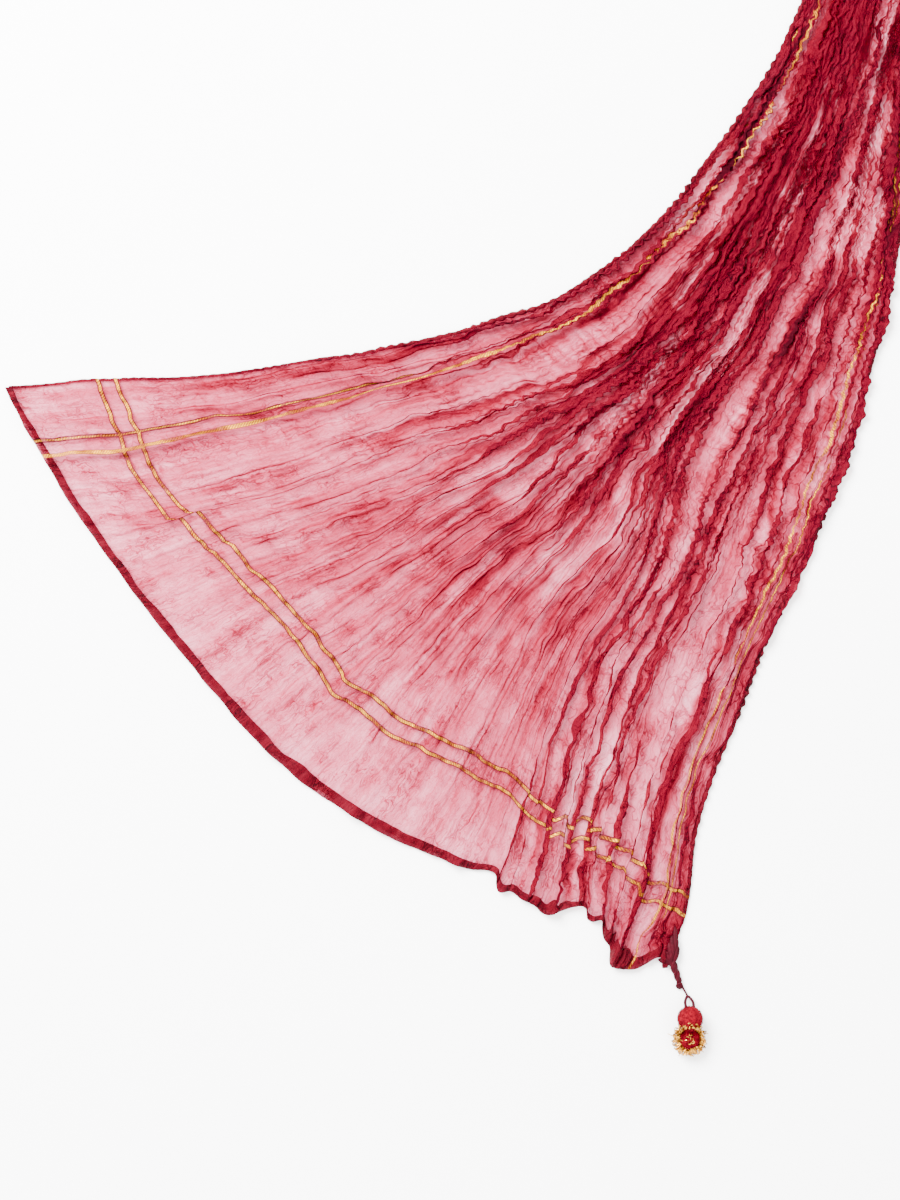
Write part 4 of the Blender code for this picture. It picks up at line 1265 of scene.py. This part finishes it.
def tied_knot(knot):
    """The small knot: two open rings at a slant round a lumpy ball."""
    parts = []
    a = np.linspace(0.2, 2 * np.pi - 0.2, 30)
    for turn in (0.3, -0.55):
        ring = knot + np.stack([0.0023 * np.cos(a), 0.0023 * np.sin(a) * np.cos(turn) - 0.0004,
                                0.0016 * np.sin(a + turn)], axis=1)
        parts.append(tubes(ring[None], 0.0012, 0.0011, 8))
    return [*parts, lumpy_ball(knot + (0, 0.0004, 0), 0.0031, 0.0024, 0.12, 105)]


def looped_cord(apex):
    """The cord's two strands: a helix round a path out of the ball, over the apex and back."""
    ball = at(BALL_AT, 0.0)
    left = ball + (-0.0037, 0.0098, 0.012)
    right = ball + (0.0034, 0.0098, 0.012)
    path = smooth_path([left, left * 0.5 + apex * 0.5 + (-0.0012, 0.001, -0.001), apex,
                        right * 0.5 + apex * 0.5 + (0.0016, 0.001, -0.001), right], 60)
    parts = []
    for k in range(2):
        swing = np.linspace(0, 14 * np.pi, 60) + np.pi * k
        off = 0.00042 * np.stack([np.cos(swing), 0 * swing, np.sin(swing)], axis=1)
        parts.append(tubes((path + off)[None], 0.0011, 0.0011, 7))
    return parts


class DUPATTA_OT_tail(bpy.types.Operator):
    """Gathers and twists the corner into its knotted tail, with the thread and loop"""
    bl_idname = "dupatta.tail"
    bl_label = "Corner tail and thread"

    def execute(self, context):
        colours = context.scene.dupatta_colours
        knot, corner, apex = at(KNOT_AT, 0.0028), at(CORNER, 0.0035), at(APEX_AT, 0.0035)
        parts = twisted_core(corner, knot) + drawn_strands(corner, knot) + tied_knot(knot)
        placed(add_joined("twisted_corner", parts, wound_silk(colours)), "hem", "corner_tail")
        thread = dull_thread(colours)
        path = smooth_path([knot + (0.0022, -0.0004, 0), knot + (0.0038, -0.0035, 0.0004),
                            apex + (-0.0006, 0.0012, 0), apex + (0.0001, -0.0004, 0)], 40)
        spun = [tubes(path[None], 0.0010, 0.0010, 8)]
        placed(add_joined("tassel_thread_spun", spun, thread), "thread", "tassel_thread")
        placed(add_joined("tassel_loop_cord", looped_cord(apex), thread), "thread", "tassel_loop")
        return {"FINISHED"}


def directions(count, seed, lowest=-1.0):
    """Unit directions spread evenly over a ball, or over its top: a golden-angle spiral."""
    k = np.arange(count) + 0.5
    z = 1 - (1 - lowest) * k / count
    turn = k * np.pi * (3 - 5 ** 0.5) + np.random.default_rng(seed).uniform(0, 0.5, count)
    flat = np.sqrt(np.maximum(0, 1 - z * z))
    return np.stack([flat * np.cos(turn), flat * np.sin(turn), z], axis=1)


def lumpy_ball(centre, radius, height, lump, seed):
    """A closed ball of rings whose radius is swelled by noise on its direction."""
    rings, sides = 34, 56
    polar = np.linspace(0.04, np.pi - 0.04, rings)[:, None]
    turn = np.linspace(0, 2 * np.pi, sides, endpoint=False)[None, :]
    swell = 1 + lump * soft_noise(polar * 3.2 + 9, (1 + np.cos(turn)) * 2.6 + np.sin(turn) * 1.9 + 9, seed)
    around = np.cos(turn) * 5 + np.sin(turn * 2) * 3 + 20
    swell = swell + lump * 0.5 * soft_noise(polar * 8, around, seed + 1)
    out = radius * swell * np.sin(polar)
    ring = np.stack([out * np.cos(turn), out * np.sin(turn), height * swell * np.cos(polar)], axis=-1)
    return centre + ring[::-1].reshape(-1, 3), ring_faces(1, rings, sides)


def fuzz(centre, radius, height, count, long, thick, seed, lowest=-1.0, curl=0.9):
    """Short curled fibres on a ball: each leaves the surface and bends round along it."""
    draw = np.random.default_rng(seed)
    out = directions(count, seed, lowest)
    tangent = np.cross(out, draw.normal(size=(count, 3)))
    tangent /= np.linalg.norm(tangent, axis=1, keepdims=True)
    s = np.linspace(0, 1, 5)[None, :, None]
    reach = (long * draw.uniform(0.6, 1.3, count))[:, None, None]
    start = out * np.array([radius, radius, height]) * 0.96
    bend = s * out[:, None] * (1 - 0.35 * curl) + curl * s ** 2 * tangent[:, None]
    path = start[:, None] + reach * bend
    width = thick * (1 - 0.6 * s[..., 0]) * np.ones((count, 1))
    return tubes(centre + path, width, width, 4)


def wool_piece(name, stands_for, wool, lump, seed, grown, count, long, thick, *shape):
    """A lumpy ball grown from its solid's box, with curled fibres on it.

    grown holds the ball's share of the box across and up, and then the fibres' shares.
    """
    low, high = (np.array(corner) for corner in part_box(stands_for))
    centre, half = (low + high) / 2, (high - low) / 2
    parts = [lumpy_ball(centre, half[0] * grown[0], half[2] * grown[1], lump, seed),
             fuzz(centre, half[0] * grown[2], half[2] * grown[3], count, long, thick, seed + 1, *shape)]
    placed(add_joined(name, parts, wool), "wool", stands_for)


class DUPATTA_OT_ball(bpy.types.Operator):
    """Winds the red wool ball and the red middle of the tinsel flower"""
    bl_idname = "dupatta.ball"
    bl_label = "Wool ball and middle"

    def execute(self, context):
        wool = red_wool(context.scene.dupatta_colours)
        long = context.scene.dupatta_sizes.fibre
        wool_piece("wool_ball", "tassel_ball", wool, 0.035, 101, (0.95, 0.95, 0.97, 0.97),
                   1500, long, 0.00022)
        wool_piece("wool_middle", "tassel_core", wool, 0.12, 103, (1.38, 1.10, 1.38, 1.12),
                   420, long + 0.0004, 0.00034, -0.2, 0.55)
        return {"FINISHED"}


# Knots of the loose tinsel ends, from the flower's middle outwards
LOOSE_ENDS = (
    [(-0.004, -0.003, 0.010), (-0.012, 0.001, 0.008), (-0.0195, 0.004, 0.004)],
    [(-0.003, -0.005, 0.009), (-0.010, -0.001, 0.006), (-0.0165, 0.003, 0.0045)],
    [(-0.002, -0.007, 0.006), (-0.006, -0.011, 0.004), (-0.0095, -0.0165, 0.002)],
    [(0.004, -0.005, 0.007), (0.009, -0.009, 0.005), (0.013, -0.013, 0.002)],
    [(0.006, 0.002, 0.009), (0.012, 0.004, 0.006), (0.0172, 0.004, 0.003)],
)


def tinsel_locks(draw, centre, tall, longest):
    """Crimped strips of foil that leave a ring, bow out to their reach and come back to it.

    The reach and the rise are a root plus a bow times a random size, the crimp is a
    sine along each strip, and a bell round the ball's side lifts the strips over it.
    """
    count = 170
    each = (count, 1)
    s = np.linspace(0, 1, 15)[None, :]
    turn = np.arange(count)[:, None] * 2 * np.pi / count + draw.uniform(-0.1, 0.1, each)
    reach = draw.uniform(longest - 0.005, longest, each)
    root = draw.uniform(0.0088, 0.0100, each)
    bow = np.sin(np.pi * s) ** 0.8
    spin = turn + (s - 0.5) * draw.uniform(0.15, 0.55, each) * np.sign(draw.uniform(-1, 1, each))
    rise = tall * (0.15 + 0.5 * draw.uniform(0, 1, each))
    up = rise + tall * draw.uniform(-0.3, 0.75, each) * bow + 0.0005 * np.sin(s * 37 + turn * 9)
    radial = root + (reach - root) * bow + 0.0004 * np.sin(s * 41 + turn * 5)
    over_ball = np.exp(-((turn - np.pi / 2) / 0.8) ** 2)
    up = np.clip(up, 0.0005, 0.011) + 0.0128 * over_ball * bow
    paths = np.stack([radial * np.cos(spin), radial * np.sin(spin), up], axis=-1)
    wide = 0.00075 * draw.uniform(0.6, 1.2, each) * np.ones_like(s)
    return tubes(centre + paths, wide, 0.00012, 4, draw.uniform(0, 3, each) + s * 4)


def tinsel_bits(draw, middle):
    """Short curved bits of foil lying on the red middle, each square to its own direction."""
    count = 9
    out = directions(count, 113, 0.25)
    s = np.linspace(-1, 1, 7)[None, :, None]
    lie = np.cross(out, draw.normal(size=(count, 3)))
    lie /= np.linalg.norm(lie, axis=1, keepdims=True)
    path = middle + out[:, None] * (0.0052 - 0.0012 * s ** 2) * (1, 1, 0.75) + 0.0015 * s * lie[:, None]
    return tubes(path, 0.0005, 0.00015, 4, draw.uniform(0, 3, (count, 1)) * np.ones((1, 7)))


class DUPATTA_OT_tinsel(bpy.types.Operator):
    """Loops the gold tinsel round its red middle"""
    bl_idname = "dupatta.tinsel"
    bl_label = "Gold tinsel"

    def execute(self, context):
        draw = np.random.default_rng(111)
        low, high = (np.array(corner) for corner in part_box("tassel_fringe"))
        centre = at(ROSETTE_AT, low[2])
        parts = [tinsel_locks(draw, centre, high[2] - low[2], context.scene.dupatta_sizes.tinsel_reach)]
        for knots in LOOSE_ENDS:
            parts.append(tubes((centre + smooth_path(knots, 24))[None], 0.0003, 0.0002, 6))
        parts.append(tinsel_bits(draw, at(ROSETTE_AT, 0.0098)))
        foil = tinsel_foil(context.scene.dupatta_colours)
        placed(add_joined("tinsel_flower", parts, foil, False), "tinsel", "tassel_fringe")
        return {"FINISHED"}


def light(name, place, size, power, aim):
    """A square area light that looks at a point."""
    made = bpy.data.lights.new(name, "AREA")
    made.energy = power
    made.size = size
    lamp = bpy.data.objects.new(name, made)
    lamp.location = place
    lamp.rotation_euler = (Vector(aim) - Vector(place)).to_track_quat("-Z", "Y").to_euler()
    bpy.context.scene.collection.objects.link(lamp)


def matt_floor(floor):
    """Smooth matt paper: white, with a shade of grey too faint to see as a pattern."""
    made, tree = new_material("pale_floor")
    place = node(tree, "ShaderNodeTexCoord").outputs["Object"]
    shade = node(tree, NOISE, Scale=3.0, Vector=place).outputs[0]
    mixed = node(tree, MIX, OF_COLOURS, i0=shade, i6=linear("FAFAFA"), i7=floor).outputs[2]
    shader = node(tree, "ShaderNodeBsdfPrincipled", Base_Color=mixed, Roughness=0.9, Specular_IOR_Level=0.0)
    node(tree, "ShaderNodeOutputMaterial", Surface=shader.outputs[0])
    return made


class DUPATTA_OT_stage(bpy.types.Operator):
    """Sets the floor, the soft lights and the camera straight above the fanned end"""
    bl_idname = "dupatta.stage"
    bl_label = "Floor, lights and camera"

    def execute(self, context):
        x, y = np.array(PHOTO_MIDDLE) + SHIFT
        half = FLOOR_HALF
        corners = [(-half, -half, 0), (half, -half, 0), (half, half, 0), (-half, half, 0)]
        floor = add_mesh("floor", corners, [(0, 1, 2, 3)], matt_floor(context.scene.dupatta_colours.floor),
                         False)
        world = bpy.data.worlds.new("soft_room")
        world.use_nodes = True
        sky = world.node_tree.nodes["Background"]
        sky.inputs["Color"].default_value = (1, 1, 1, 1)
        sky.inputs["Strength"].default_value = ROOM_STRENGTH
        context.scene.world = world
        light("key_light", (x - 1.4, y + 1.6, 2.2), 1.8, 900, (x, y, 0))
        light("fill_light", (x + 1.8, y - 1.2, 2.4), 2.0, 60, (x, y, 0))
        camera = bpy.data.cameras.new("camera")
        camera.lens = LENS_MM
        seen = bpy.data.objects.new("camera", camera)
        seen.location = (x, y, PHOTO_HEIGHT * camera.lens / camera.sensor_width)
        context.scene.collection.objects.link(seen)
        context.scene.camera = seen
        return {"FINISHED"}


class DUPATTA_PT_panel(bpy.types.Panel):
    """Buttons that make each piece"""
    bl_label = "Crinkled silk dupatta"
    bl_idname = "DUPATTA_PT_panel"
    bl_space_type = "VIEW_3D"
    bl_region_type = "UI"
    bl_category = "Dupatta"

    def draw(self, context):
        for operator in OPERATORS:
            self.layout.operator(operator.bl_idname)


OPERATORS = (DUPATTA_OT_stage, DUPATTA_OT_cloth, DUPATTA_OT_hems, DUPATTA_OT_tail,
             DUPATTA_OT_ball, DUPATTA_OT_tinsel)
CLASSES = (DupattaSizes, DupattaColours, *OPERATORS, DUPATTA_PT_panel)


def register():
    """Registers the classes and their properties."""
    for found in CLASSES:
        bpy.utils.register_class(found)
    bpy.types.Scene.dupatta_sizes = PointerProperty(type=DupattaSizes)
    bpy.types.Scene.dupatta_colours = PointerProperty(type=DupattaColours)


def unregister():
    """Takes the classes and their properties away."""
    del bpy.types.Scene.dupatta_colours
    del bpy.types.Scene.dupatta_sizes
    for found in reversed(CLASSES):
        bpy.utils.unregister_class(found)


def main():
    """Makes every piece in order."""
    register()
    bpy.ops.dupatta.stage()
    bpy.ops.dupatta.cloth()
    bpy.ops.dupatta.hems()
    bpy.ops.dupatta.tail()
    bpy.ops.dupatta.ball()
    bpy.ops.dupatta.tinsel()


if __name__ == "__main__":
    main()
